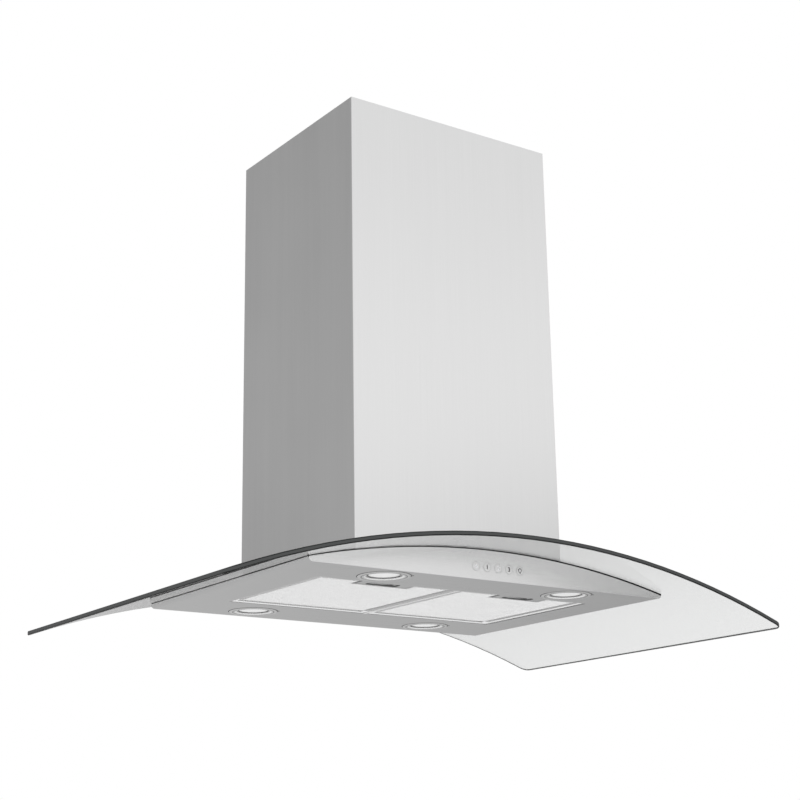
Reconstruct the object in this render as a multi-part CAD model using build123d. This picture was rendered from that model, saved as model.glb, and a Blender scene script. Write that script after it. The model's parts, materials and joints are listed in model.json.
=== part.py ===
"""Ceiling-hung range hood with an arched glass canopy and a telescopic chimney.

Frame: origin at the centre of the ceiling plate's top face, X right along the front,
Y towards the back, Z up. The hood hangs below the origin. Millimetres.
The pieces that hang from the chimney are drawn in canopy coordinates, whose Z = 0 is the
flat underside of the body, and are lowered by hood_drop when they are written.
"""
from build123d import *
from math import asin, cos, degrees, radians, sin, sqrt
import os

# ---- whole object ----
hood_drop = 690.0  # ceiling to the flat underside, chimney closed
drop_travel = 350.0  # how far the hood lowers on its frame
fit_gap = 0.3  # between pieces that move past each other
seat_gap = 0.05  # between curved faces that lie on each other
screw_fit = 0.02  # a hole's radius over its screw's
sheet = 1.0  # stainless panels
deck_sheet = 1.2  # load-carrying inner panels

# ---- glass canopy ----
glass_width = 900.0
glass_depth = 580.0
glass_thick = 6.0
glass_radius = 1272.0  # top surface of the arch
glass_at_side = 13.0  # top of the arch above the underside, at the body's sides
glass_corner_r = 12.0
glass_edge_r = 1.6  # pencil-polished edge
glass_front_overhang = 80.0  # glass beyond the front panel
gasket_thick = 1.8
gasket_wide = 8.0
gasket_inset = 0.2  # gasket behind the body's outer faces
glass_cutout_corner_r = 4.0
glass_cutout_gap = 2.0  # from the lower uprights to the opening in the glass
glass_hole_r = 7.0
glass_bush_r = 6.3
glass_cap_r = 11.0
glass_cap_h = 2.0
glass_cap_seat = 0.15  # cap above the arch, so that its flat face clears the curve
glass_screw_r = 2.5
glass_screw_head_r = 4.8
glass_screw_head_h = 2.6
glass_socket_r = 1.7
glass_socket_deep = 1.6
glass_nut_r = 4.2
glass_nut_h = 3.2
glass_bolt_side = 60.0  # bolts in from the body's sides
glass_bolt_front = 50.0
glass_bolt_back = 45.0

# ---- body ----
body_width = 586.0
body_front_y = -227.0  # face of the front panel
body_back_y = 200.0
body_side_r = 6.0  # rolled side edge
side_rail_wide = 24.0
side_rail_inset = 7.0  # rail's outer face inside the body's side
panel_flange = 10.0
panel_flange_gap = 4.0  # from the flange's ends to the side rails

# ---- chimney ----
flue_width = 350.0
flue_depth = 300.0
flue_corner_r = 1.2
flue_slip = 3.0  # between the lower and the upper cover
flue_top_gap = 3.0  # lower cover's top edge below the ceiling
upper_flue_top_gap = 1.0
upper_flue_bottom = 70.0  # above the underside
flue_screw_r = 2.0
flue_screw_head_r = 3.5
flue_screw_head_h = 1.8
flue_screw_spread = 120.0  # between the two screws of one side
flue_screw_tip = 2.0  # screw beyond the sheet it holds
flue_bracket_wide = 14.0
flue_bracket_tall = 10.0
flue_bracket_gap = 3.0  # bracket below the upper cover
flue_bracket_screw = 7.0

# ---- ceiling plate and frame ----
plate_thick = 2.5
plate_flange = 20.0
plate_flange_thick = 1.5
ceiling_bolt_x = 240.0  # spacing of the ceiling bolts
ceiling_bolt_y = 224.0
ceiling_bolt_hole_r = 4.5
ceiling_cable_hole_r = 9.0  # straight above the cable gland
duct_opening = 180.0
frame_gap = 5.0  # upper cover to the uprights
angle_thick = 2.0
upper_leg = 22.0
lower_leg = 20.0
upper_frame_bottom = 87.0  # above the underside
brace_tall = 20.0
lower_frame_top_gap = 8.0
clamp_shank_r = 3.0
clamp_head_r = 6.0
clamp_head_h = 2.6
clamp_nut_r = 5.0
clamp_nut_h = 4.5
clamp_levels = (-110.0, -150.0)  # heights of the clamp bolts below the ceiling

# ---- blower ----
box_gap_x = 2.7  # blower box to the lower uprights' legs
box_gap_y = 3.7  # blower box to the lower uprights' corners
box_top = 295.0
box_lip = 8.0
box_mouth_gap = 2.0  # box's outlet inside the scroll's sides
fan_z = 183.0  # axis of the impeller
scroll_left_gap = 0.8  # scroll to the box's left wall
scroll_right_gap = 35.8
scroll_step = 9.0  # growth of the scroll each quarter turn
scroll_wall = 2.0
scroll_deep = 120.0
scroll_inlet_gap = 5.0  # inlet's edge inside the blades
tongue_angle = 60.0
throat_left = 8.0  # left edge of the scroll's outlet
fan_tip_gap = 12.0  # blades to the tightest part of the scroll
blade_deep = 13.0  # radial
fan_deep = 104.0
fan_blades = 32
fan_disc_thick = 3.0
fan_ring_thick = 2.0
fan_ring_wide = 5.0
blade_thick = 1.0
blade_lean = 30.0
hub_r = 14.0
hub_front = 12.0  # hub in front of the impeller's middle
shaft_r = 4.0
shaft_fit = 0.05
shaft_front = 16.0
motor_r = 43.0
motor_front = 8.0
motor_deep = 62.0
motor_edge_r = 3.0
bracket_thick = 3.0
bracket_reach = 85.0
bracket_ring_wide = 6.0
bracket_arm_wide = 14.0
bracket_arms = 3
capacitor_r = 17.5
capacitor_tall = 60.0
capacitor_side = 30.0  # in from the box's left side
capacitor_front = 54.0
terminal_gap = 2.0  # terminal box to the box's edge and to the collar's base
terminal_deep = 66.0
terminal_tall = 30.0
terminal_y = 60.0
terminal_wall = 2.0
gland_r = 8.0
gland_bore_r = 4.0
gland_nut_r = 11.0
gland_nut_tall = 5.0
gland_tall = 12.0  # above the terminal box
gland_inside = 4.0

# ---- duct collar and back-draught flaps ----
collar_x = 24.0
collar_r = 74.5  # outside, for a 150 mm duct
collar_wall = 2.0
collar_tall = 60.0
collar_base = 170.0
collar_base_thick = 2.0
flap_thick = 1.2
flap_gap = 1.5
flap_pin_r = 1.5
flap_barrel_r = 2.6
flap_pin_x = 4.2  # from the collar's centre
flap_pin_z = 14.0  # above the collar's base
flap_pin_fit = 0.06
flap_edge = 1.2  # straight edge from the collar's centre
flap_stop_wide = 3.0
flap_stop_thick = 2.0
flap_stop_gap = 12.0  # stop ring left out this far each side of the pins

# ---- filters ----
filter_open_x = 452.0
filter_open_front = -140.0
filter_open_back = 93.0
filter_recess = 1.0  # filter face above the underside
filter_thick = 9.0
filter_side_gap = 0.8
filter_front_gap = 1.5
filter_back_gap = 1.5
filter_rim = 7.0
filter_rim_wall = 1.0
filter_divider_wide = 6.0
mesh_fit = 0.2  # mesh inside the rim's channel and round the handle
surround_tall = 12.0
surround_wall = 1.0
surround_offset = 1.0
front_channel = 6.0  # from the opening's front edge to the keeper wall
peg_r = 1.5
peg_fit = 0.08
peg_bury = 0.8  # peg's end beyond the surround's wall, or short of the divider's middle
pivot_inset = 3.0  # pivot in front of the filter's rear face
pivot_up = 2.0  # pivot above the filter's face
handle_wide = 88.0
handle_deep = 40.0
handle_wall = 1.0
pull_wide = 50.0
pull_deep = 16.0
pull_inset = 5.0  # finger recess behind the handle's front
pull_corner_r = 5.0
slot_inset = 2.0  # slot for the latch's tab inside the finger recess
latch_wide = 36.0
latch_long = 20.0
latch_down = 3.6  # underside of the latch below the filter's top
latch_tab_thick = 1.6
latch_tab_gap = 0.6  # from the finger recess's slot
keeper_thick = 1.0
latch_thick = 1.6
tongue_wide = 16.0
latch_coil_r = 0.7
latch_wire_r = 0.3
latch_spring_turns = 5

# ---- lamps ----
lamp_x = 153.0
lamp_front_y = -184.0
lamp_back_y = 152.0
lamp_hole_r = 29.0
lamp_trim_r = 35.0
lamp_trim_thick = 1.0
lamp_throat_r = 27.0
lamp_lens_r = 21.0
lamp_lens_thick = 2.0
lamp_recess = 2.0
lamp_can_r = 26.0
lamp_can_tall = 12.0
lamp_sleeve_gap = 0.4  # trim's sleeve inside the panel's hole
lamp_lens_lip = 1.2  # trim under the lens's edge
lamp_lens_fit = 0.2
lamp_fin_pitch = 9.0
lamp_fin_slot = 3.0
lamp_fin_deep = 4.0
lamp_clip_wide = 8.0
lamp_clip_reach = 5.0
lamp_clip_thick = 0.6
lamp_notch_angle = -35.0
lamp_notch_r = 2.2

# ---- controls ----
key_names = ("key_power", "key_speed_1", "key_speed_2", "key_speed_3", "key_lamp")
key_pitch = 18.3
key_z = 17.0
key_r = 6.0
key_proud = 0.2
key_travel = 1.0
key_flange_r = 7.2
key_flange_thick = 1.5
key_stem_r = 2.0
carrier_wide = 100.0
carrier_low = 6.0
carrier_high = 28.0
carrier_wall_at = 9.0  # front of the carrier's cross wall behind the front panel
carrier_wall = 2.0
board_thick = 1.6
switch_size = 6.0
switch_tall = 3.0
key_wire_r = 0.25
key_spring_turns = 4
key_stem_out = 1.2  # stem's end behind the carrier's cross wall
carrier_ear = 8.0
carrier_ear_thick = 3.0
board_inset = 0.2  # board inside the carrier
power_x = (-45.0, 45.0)
power_y = (-196.0, -156.0)
power_top = 26.0
power_wall = 3.0

# ---- worked out from the above ----
half_body = body_width / 2
arch_z = glass_at_side - sqrt(glass_radius**2 - half_body**2)
under_r = glass_radius - glass_thick
deck_r = under_r - gasket_thick
deck_under_r = deck_r - deck_sheet
glass_front_y = body_front_y - glass_front_overhang
glass_back_y = glass_front_y + glass_depth
deck_half = half_body - body_side_r + sheet
upper_half_x = flue_width / 2 - sheet - flue_slip
upper_half_y = flue_depth / 2 - sheet - flue_slip
frame_half_x = upper_half_x - sheet - frame_gap
frame_half_y = upper_half_y - sheet - frame_gap
lower_half_x = frame_half_x - angle_thick - fit_gap
lower_half_y = frame_half_y - angle_thick - fit_gap
cutout_half_x = lower_half_x + glass_cutout_gap
cutout_half_y = lower_half_y + glass_cutout_gap
clamp_x = lower_half_x - lower_leg / 2
box_half_x = lower_half_x - lower_leg - box_gap_x
box_half_y = lower_half_y - box_gap_y
scroll_span = 2 * (box_half_x - deck_sheet - scroll_wall) - scroll_left_gap - scroll_right_gap
scroll_r = (scroll_span - 3 * scroll_step) / 2
fan_x = -box_half_x + deck_sheet + scroll_left_gap + scroll_wall + scroll_r
fan_r = scroll_r - fan_tip_gap
fan_inner_r = fan_r - blade_deep
scroll_inlet_r = fan_inner_r - scroll_inlet_gap
capacitor_at = (capacitor_side - box_half_x, capacitor_front - box_half_y)
terminal_x = (terminal_gap - box_half_x, collar_x - collar_base / 2 - terminal_gap)
terminal_at = (sum(terminal_x) / 2, terminal_y)
flue_screw_ys = (-flue_screw_spread / 2, flue_screw_spread / 2)
flue_screw_z = -plate_thick - plate_flange / 2
flue_bracket_z = upper_flue_bottom - flue_bracket_gap - flue_bracket_tall / 2
glass_bolt_x = half_body - glass_bolt_side
glass_bolt_ys = (body_front_y + glass_bolt_front, body_back_y - glass_bolt_back)
glass_bolt_places = [(sx * glass_bolt_x, y) for y in glass_bolt_ys for sx in (-1, 1)]
filter_half_open = filter_open_x / 2
filter_inner = filter_divider_wide / 2 + filter_side_gap
filter_wide = filter_half_open - filter_side_gap - filter_inner
filter_front = filter_open_front + filter_front_gap
filter_back = filter_open_back - filter_back_gap
filter_top = filter_recess + filter_thick
pivot_y = filter_back - pivot_inset
pivot_z = filter_recess + pivot_up
handle_front = filter_front + filter_rim_wall
handle_back = handle_front + handle_deep
pull_front = handle_front + pull_inset
latch_z = filter_top - latch_down
keeper_z = latch_z - fit_gap
tongue_tip = filter_open_front + fit_gap  # the tongue stops just short of its keeper
collar_floor = box_top + collar_base_thick
flap_z = collar_floor + flap_pin_z
half_scroll = scroll_deep / 2
lamp_places = [(sx * lamp_x, y) for y in (lamp_front_y, lamp_back_y) for sx in (-1, 1)]
lamp_sleeve_top = lamp_recess + lamp_lens_thick + 1.0
lamp_can_low = lamp_recess + lamp_lens_thick + seat_gap
key_back_y = body_front_y + sheet + fit_gap
carrier_front = body_front_y + sheet
cross_wall_y = carrier_front + carrier_wall_at
stem_end = cross_wall_y + carrier_wall + key_stem_out
switch_front = stem_end + key_travel + fit_gap
board_front = switch_front + switch_tall
lowered = Pos(0, 0, -hood_drop)


# ---- drawing helpers ----
def block(x, y, z):
    """Box between pairs of limits along X, Y and Z."""
    size = (x[1] - x[0], y[1] - y[0], z[1] - z[0])
    return Pos((x[0] + x[1]) / 2, (y[0] + y[1]) / 2, (z[0] + z[1]) / 2) * Box(*size)


def post(r, x, y, z):
    """Upright cylinder between two heights."""
    return Pos(x, y, (z[0] + z[1]) / 2) * Cylinder(r, z[1] - z[0])


def rod_y(r, x, y, z):
    """Cylinder along Y between two depths."""
    return Pos(x, (y[0] + y[1]) / 2, z) * Rot(90, 0, 0) * Cylinder(r, y[1] - y[0])


def rod_x(r, x, y, z):
    """Cylinder along X between two limits."""
    return Pos((x[0] + x[1]) / 2, y, z) * Rot(0, 90, 0) * Cylinder(r, x[1] - x[0])


def arch(r):
    """Everything under the canopy's arch of radius r."""
    return rod_y(r, 0, (-glass_depth, glass_depth), arch_z)


def arch_height(r, x):
    """Height of the arch of radius r at x, above the underside."""
    return arch_z + sqrt(r * r - x * x)


def tube_box(half_x, half_y, z, wall):
    """Rectangular sheet-metal tube between two heights."""
    outer = extrude(Pos(0, 0, z[0]) * RectangleRounded(2 * half_x, 2 * half_y, flue_corner_r), z[1] - z[0])
    inner = block((wall - half_x, half_x - wall), (wall - half_y, half_y - wall), (z[0] - 1, z[1] + 1))
    return outer - inner


def group(pieces):
    """Separate solids kept together under one name."""
    return Compound(children=[s for p in pieces for s in p.solids()])


def spring_y(coil_r, wire_r, turns, x, y, z):
    """Open coil spring along Y between two depths."""
    length = y[1] - y[0] - 2 * wire_r
    line = Helix(length / turns, length, coil_r, center=(x, y[0] + wire_r, z), direction=(0, 1, 0))
    return sweep(Plane(origin=line @ 0, z_dir=line % 0) * Circle(wire_r), path=line)


def save(name, shape, canopy=True):
    export_step(lowered * shape if canopy else shape, f"parts/{name}.step")


# ---- ceiling plate, upper frame and upper chimney cover (ceiling coordinates) ----
def ceiling_plate():
    """Flat plate with a flange strip welded under each edge."""
    half_x = upper_half_x - sheet - fit_gap
    half_y = upper_half_y - sheet - fit_gap
    t = plate_flange_thick
    plate = block((-half_x, half_x), (-half_y, half_y), (-plate_thick, 0))
    half = duct_opening / 2
    plate -= block((collar_x - half, collar_x + half), (-half, half), (-plate_thick * 2, plate_thick))
    plate -= post(ceiling_cable_hole_r, *terminal_at, (-plate_thick * 2, 1))
    z = (-plate_thick - plate_flange, -plate_thick)
    strips = []
    for s in (-1, 1):
        for sy in (-1, 1):
            at_x, at_y = s * ceiling_bolt_x / 2, sy * ceiling_bolt_y / 2
            plate -= post(ceiling_bolt_hole_r, at_x, at_y, (-plate_thick * 2, 1))
        x = sorted((s * half_x, s * (half_x - t)))
        side = block(x, (t - half_y, half_y - t), z)
        for y in flue_screw_ys:
            side -= rod_x(flue_screw_r + screw_fit, (x[0] - 1, x[1] + 1), y, flue_screw_z)
        strips += [side, block((-half_x, half_x), sorted((s * half_y, s * (half_y - t))), z)]
    return group([plate] + strips)


def angle(leg, half_x, half_y, sx, sy, z):
    """Angle upright whose corner is at (half_x, half_y) in the quarter sx, sy."""
    x = sorted((sx * half_x, sx * (half_x - leg)))
    y = sorted((sy * half_y, sy * (half_y - leg)))
    inner_x = sorted((sx * (half_x - angle_thick), sx * (half_x - 2 * leg)))
    inner_y = sorted((sy * (half_y - angle_thick), sy * (half_y - 2 * leg)))
    return block(x, y, z) - block(inner_x, inner_y, (z[0] - 1, z[1] + 1))


def upper_uprights():
    bottom = upper_frame_bottom - hood_drop
    slot_r = clamp_shank_r + fit_gap
    slot = (min(clamp_levels) - drop_travel, max(clamp_levels))
    pieces = []
    for sx in (-1, 1):
        for sy in (-1, 1):
            leg = angle(upper_leg, frame_half_x, frame_half_y, sx, sy, (bottom, -plate_thick))
            x = sx * clamp_x
            y = sorted((sy * (frame_half_y + 1), sy * (frame_half_y - angle_thick - 1)))
            leg -= block((x - slot_r, x + slot_r), y, slot)
            leg -= rod_y(slot_r, x, y, slot[0]) + rod_y(slot_r, x, y, slot[1])
            pieces.append(leg)
    return group(pieces)


def upper_brace():
    low = upper_frame_bottom - hood_drop
    z = (low, low + brace_tall)
    free_x = frame_half_x - upper_leg
    free_y = frame_half_y - upper_leg
    bars = []
    for s in (-1, 1):
        x = sorted((s * frame_half_x, s * (frame_half_x - angle_thick)))
        y = sorted((s * frame_half_y, s * (frame_half_y - angle_thick)))
        bars.append(block(x, (-free_y, free_y), z))
        bars.append(block((-free_x, free_x), y, z))
    return group(bars)


def upper_flue():
    cover = tube_box(upper_half_x, upper_half_y, (upper_flue_bottom - hood_drop, -upper_flue_top_gap), sheet)
    for sx in (-1, 1):
        for y in flue_screw_ys:
            x = sorted((sx * (upper_half_x - 2 * sheet), sx * (upper_half_x + sheet)))
            cover -= rod_x(flue_screw_r + screw_fit, x, y, flue_screw_z)
    return cover


def upper_flue_screws():
    pieces = []
    tip = upper_half_x - sheet - fit_gap - plate_flange_thick - flue_screw_tip
    for sx in (-1, 1):
        for y in flue_screw_ys:
            shank = rod_x(flue_screw_r, sorted((sx * tip, sx * upper_half_x)), y, flue_screw_z)
            head_x = sorted((sx * upper_half_x, sx * (upper_half_x + flue_screw_head_h)))
            pieces.append(shank + rod_x(flue_screw_head_r, head_x, y, flue_screw_z))
    return group(pieces)


# ---- lower frame and lower chimney cover ----
def lower_uprights():
    top = hood_drop - lower_frame_top_gap
    pieces = []
    for sx in (-1, 1):
        for sy in (-1, 1):
            leg = angle(lower_leg, lower_half_x, lower_half_y, sx, sy, (0, top)) - arch(deck_r + seat_gap)
            for level in clamp_levels:
                y = sorted((sy * (lower_half_y + 1), sy * (lower_half_y - angle_thick - 1)))
                leg -= rod_y(clamp_shank_r + screw_fit, sx * clamp_x, y, hood_drop + level)
            pieces.append(leg)
    return group(pieces)


def clamp_bolts():
    pieces = []
    head = frame_half_y + fit_gap
    inside = lower_half_y - angle_thick
    for sx in (-1, 1):
        for sy in (-1, 1):
            for level in clamp_levels:
                x, z = sx * clamp_x, hood_drop + level
                bolt = rod_y(clamp_shank_r, x, sorted((sy * head, sy * (inside - clamp_nut_h))), z)
                bolt += rod_y(clamp_head_r, x, sorted((sy * head, sy * (head + clamp_head_h))), z)
                nut = Pos(x, sy * (inside - clamp_nut_h / 2), z) * Rot(90, 0, 0)
                bolt += nut * extrude(RegularPolygon(clamp_nut_r, 6), clamp_nut_h / 2, both=True)
                pieces.append(bolt)
    return group(pieces)


def lower_flue():
    cover = tube_box(flue_width / 2, flue_depth / 2, (0, hood_drop - flue_top_gap), sheet)
    cover -= arch(glass_radius + fit_gap)
    for sx in (-1, 1):
        y = (flue_depth / 2 - 2 * sheet, flue_depth / 2 + sheet)
        cover -= rod_y(flue_screw_r + screw_fit, sx * clamp_x, y, flue_bracket_z)
    return cover


def flue_fixings():
    """Brackets on the rear uprights and the screws that hold the lower cover to them."""
    back = flue_depth / 2
    inner = back - sheet
    half = flue_bracket_wide / 2
    z = (flue_bracket_z - flue_bracket_tall / 2, flue_bracket_z + flue_bracket_tall / 2)
    pieces = []
    for x in (-clamp_x, clamp_x):
        arm = block((x - half, x + half), (lower_half_y, inner), z)
        arm -= rod_y(flue_screw_r + screw_fit, x, (back - flue_bracket_screw - 1, back), flue_bracket_z)
        screw = rod_y(flue_screw_r, x, (back - flue_bracket_screw, back), flue_bracket_z)
        screw += rod_y(flue_screw_head_r, x, (back, back + flue_screw_head_h), flue_bracket_z)
        pieces += [arm, screw]
    return group(pieces)


# ---- glass and what carries it ----
def plan(x, y, r, z=(-200.0, 200.0)):
    """Upright prism with a rounded rectangular outline."""
    outline = Pos((x[0] + x[1]) / 2, (y[0] + y[1]) / 2, z[0]) * RectangleRounded(x[1] - x[0], y[1] - y[0], r)
    return extrude(outline, z[1] - z[0])


def glass():
    sheet_of_glass = plan((-glass_width / 2, glass_width / 2), (glass_front_y, glass_back_y), glass_corner_r)
    sheet_of_glass &= arch(glass_radius) - arch(under_r)
    rim = sheet_of_glass.faces().filter_by(GeomType.CYLINDER).sort_by(SortBy.AREA)[-2:]
    outline = rim[0].edges() + rim[1].edges()
    sheet_of_glass = fillet(outline, glass_edge_r)
    cutout = plan((-cutout_half_x, cutout_half_x), (-cutout_half_y, cutout_half_y), glass_cutout_corner_r)
    sheet_of_glass -= cutout
    for x, y in glass_bolt_places:
        sheet_of_glass -= on_arch(glass_radius, x, y) * Cylinder(glass_hole_r, 4 * glass_thick)
    return sheet_of_glass


def on_arch(r, x, y):
    """Place on the arch of radius r, with Z along the arch's normal."""
    return Pos(x, y, arch_height(r, x)) * Rot(0, degrees(asin(x / r)), 0)


def glass_bushes():
    """Flanged soft bushes that line the glass holes, under a metal cap."""
    pieces = []
    for x, y in glass_bolt_places:
        sleeve = Pos(0, 0, -glass_thick / 2) * Cylinder(glass_bush_r, glass_thick)
        cap = Pos(0, 0, glass_cap_h / 2 + glass_cap_seat) * Cylinder(glass_cap_r, glass_cap_h)
        neck = Pos(0, 0, glass_cap_seat) * Cylinder(glass_bush_r, 2 * glass_cap_seat)
        bore = Cylinder(glass_screw_r + screw_fit, 4 * glass_thick)
        pieces.append(on_arch(glass_radius, x, y) * (sleeve + neck + cap - bore))
    return group(pieces)


def glass_screws():
    """Socket screws through the glass, each with its nut under the top cover."""
    top = glass_cap_h + glass_cap_seat
    nut_top = -glass_thick - gasket_thick - deck_sheet - seat_gap
    low = nut_top - glass_nut_h
    pieces = []
    for x, y in glass_bolt_places:
        place = on_arch(glass_radius, x, y)
        shank = Pos(0, 0, (low + top) / 2) * Cylinder(glass_screw_r, top - low)
        head = Pos(0, 0, top + glass_screw_head_h / 2) * Cylinder(glass_screw_head_r, glass_screw_head_h)
        head = fillet(head.edges().sort_by(Axis.Z)[-1], glass_screw_head_h * 0.6)
        socket = extrude(RegularPolygon(glass_socket_r, 6), glass_socket_deep, both=True)
        nut = extrude(RegularPolygon(glass_nut_r, 6), glass_nut_h / 2, both=True)
        nut = Pos(0, 0, (low + nut_top) / 2) * nut
        pieces.append(place * (shank + head - Pos(0, 0, top + glass_screw_head_h) * socket))
        pieces.append(place * (nut - Pos(0, 0, low) * Cylinder(glass_screw_r + screw_fit, 4 * glass_nut_h)))
    return group(pieces)


def glass_gasket():
    strip = arch(under_r - seat_gap) - arch(deck_r + seat_gap)
    w = gasket_wide
    half = half_body - gasket_inset
    x, y = (-half, half), (body_front_y + gasket_inset, body_back_y - gasket_inset)
    outer = plan(x, y, 2) - plan((x[0] + w, x[1] - w), (y[0] + w, y[1] - w), 1)
    x, y = (-cutout_half_x, cutout_half_x), (-cutout_half_y, cutout_half_y)
    inner = plan((x[0] - w, x[1] + w), (y[0] - w, y[1] + w), 6) - plan(x, y, glass_cutout_corner_r)
    return group([strip & outer, strip & inner])


# ---- body ----
def body_outline(inset):
    """Cross-section of the body, flat below with rolled lower edges, tall enough to be trimmed."""
    r = body_side_r - inset
    tall = 120.0
    outline = Rectangle(body_width - 2 * inset, tall)
    outline = fillet(outline.vertices().group_by(Axis.Y)[0], r)
    return Plane.XZ * Pos(0, tall / 2 + inset) * outline


def body_prism(inset, y):
    return extrude(Pos(0, y[1], 0) * body_outline(inset), y[1] - y[0])


def underside_panel():
    y = (body_front_y + sheet, body_back_y - sheet)
    pan = body_prism(0, y) - body_prism(sheet, (y[0] - 1, y[1] + 1))
    pan &= arch(deck_r - seat_gap)
    pan -= block((-filter_half_open, filter_half_open), (filter_open_front, filter_open_back), (-1, 3))
    for x, y in lamp_places:
        pan -= post(lamp_hole_r, x, y, (-1, 3))
    return pan


def end_panel(face_y, inward):
    """Front or back panel with its foot on the underside panel; inward is +1 or -1."""
    y = sorted((face_y, face_y + inward * sheet))
    skin = body_prism(0, y) & arch(deck_r - seat_gap)
    foot_y = sorted((face_y + inward * sheet, face_y + inward * (sheet + panel_flange)))
    half = half_body - side_rail_inset - side_rail_wide - panel_flange_gap
    return skin + block((-half, half), foot_y, (sheet, 2 * sheet))


def front_panel():
    panel = end_panel(body_front_y, 1)
    for x in key_xs():
        panel -= rod_y(key_r + fit_gap, x, (body_front_y - 1, body_front_y + 2 * sheet), key_z)
    return panel


def top_cover():
    deck = arch(deck_r) - arch(deck_under_r)
    inside = sheet + seat_gap
    deck &= block((-deck_half, deck_half), (body_front_y + inside, body_back_y - inside), (-10, 100))
    half_x, half_y = box_half_x - deck_sheet - box_lip, box_half_y - deck_sheet - box_lip
    deck -= block((-half_x, half_x), (-half_y, half_y), (-10, 100))
    for x, y in glass_bolt_places:
        place = on_arch(glass_radius, x, y)
        deck -= place * Pos(0, 0, -10) * Cylinder(glass_screw_r + 0.2, 20)
    return deck


def side_rails():
    pieces = []
    for s in (-1, 1):
        outer = half_body - side_rail_inset
        x = sorted((s * outer, s * (outer - side_rail_wide)))
        y = (body_front_y + 2 * sheet + fit_gap, body_back_y - 2 * sheet - fit_gap)
        pieces.append(block(x, y, (sheet, 60)) & arch(deck_under_r - seat_gap))
    return group(pieces)


# ---- filter opening ----
def filter_surround():
    x = filter_half_open + surround_offset
    front = filter_open_front - front_channel
    back = filter_open_back + surround_offset
    w = surround_wall
    z = (sheet, sheet + surround_tall)
    ring = block((-x - w, x + w), (front - w, back + w), z) - block((-x, x), (front, back), (0, 40))
    foot = block((-x - 6, x + 6), (front - 6, back + 6), (sheet, 2 * sheet))
    foot -= block((-x, x), (front, back), (0, 40))
    keeper = block((-x, x), (front, filter_open_front), (keeper_z - keeper_thick, keeper_z))
    surround = ring + foot + keeper
    for s in (-1, 1):
        surround -= rod_x(peg_r + peg_fit, sorted((s * (x - 1), s * (x + 2 * w + 1))), pivot_y, pivot_z)
    return surround


def filter_divider():
    half = filter_divider_wide / 2
    y = (filter_open_front - front_channel, filter_open_back + surround_offset)
    rail = block((-half, half), y, (sheet, sheet + surround_tall))
    rail += block((-half, half), (filter_open_front + 0.2, filter_open_back - 0.2), (0, sheet))
    keeper = (keeper_z - keeper_thick - seat_gap, keeper_z + seat_gap)
    rail -= block((-half - 1, half + 1), (y[0] - 1, filter_open_front + seat_gap), keeper)
    for s in (-1, 1):
        rail -= rod_x(peg_r + peg_fit, sorted((s * (peg_bury - 0.5), s * (half + 1))), pivot_y, pivot_z)
    return rail


def filter_frame(side):
    """Channel rim round the mesh, with pivot pegs and the mouth for the latch tongue."""
    x = sorted((side * filter_inner, side * (filter_inner + filter_wide)))
    y = (filter_front, filter_back)
    z = (filter_recess, filter_top)
    r, w = filter_rim, filter_rim_wall
    rim = plan(x, y, 2, z)
    rim -= block((x[0] + r, x[1] - r), (y[0] + r, y[1] - r), (z[0] - 1, z[1] + 1))
    rim -= block((x[0] + w, x[1] - w), (y[0] + w, y[1] - w), (z[0] + w, z[1] - w))
    middle = (x[0] + x[1]) / 2
    mouth = tongue_wide / 2 + fit_gap
    rim -= block(
        (middle - mouth, middle + mouth),
        (y[0] - 1, y[0] + w + 1),
        (latch_z - fit_gap, latch_z + latch_thick + fit_gap),
    )
    half = handle_wide / 2 + seat_gap
    rim -= block((middle - half, middle + half), (y[0] + w, y[0] + r + 1), (z[0] - 1, z[1] + 1))
    inner_peg = sorted((side * peg_bury, side * (filter_inner + w)))
    outside = filter_half_open + surround_offset + surround_wall + peg_bury
    outer_peg = sorted((side * (filter_inner + filter_wide - w), side * outside))
    for peg in (inner_peg, outer_peg):
        rim += rod_x(peg_r, peg, pivot_y, pivot_z)
    return rim


def filter_middle(side):
    return side * (filter_inner + filter_wide / 2)


def filter_mesh(side):
    """Stack of mesh layers held in the rim's channel."""
    w = filter_rim_wall + mesh_fit
    x = sorted((side * filter_inner, side * (filter_inner + filter_wide)))
    pack = block(
        (x[0] + w, x[1] - w),
        (filter_front + w, filter_back - w),
        (filter_recess + filter_rim_wall, filter_top - filter_rim_wall),
    )
    half = handle_wide / 2 + mesh_fit
    middle = filter_middle(side)
    edge = handle_back + mesh_fit
    return pack - block((middle - half, middle + half), (filter_front - 1, edge), (0, 40))


def filter_handle(side):
    """Cup let into the filter's front edge: a finger recess below, the latch's track above."""
    middle = filter_middle(side)
    half = handle_wide / 2
    y = (handle_front, handle_back)
    z = (filter_recess, filter_top)
    cup = block((middle - half, middle + half), y, z)
    track = latch_wide / 2 + fit_gap
    cup -= block(
        (middle - track, middle + track),
        (handle_front - 1, handle_back - handle_wall),
        (latch_z - fit_gap, latch_z + latch_thick + fit_gap),
    )
    pull_outline = RectangleRounded(pull_wide, pull_deep, pull_corner_r)
    recess = extrude(pull_outline, latch_z - fit_gap - filter_recess)
    recess = Pos(middle, pull_front + pull_deep / 2, filter_recess - 1) * recess
    slot = block(
        (middle - track, middle + track),
        (pull_front + slot_inset, pull_front + pull_deep - slot_inset),
        (filter_recess, latch_z + latch_thick),
    )
    cup -= recess + slot
    return cup


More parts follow.
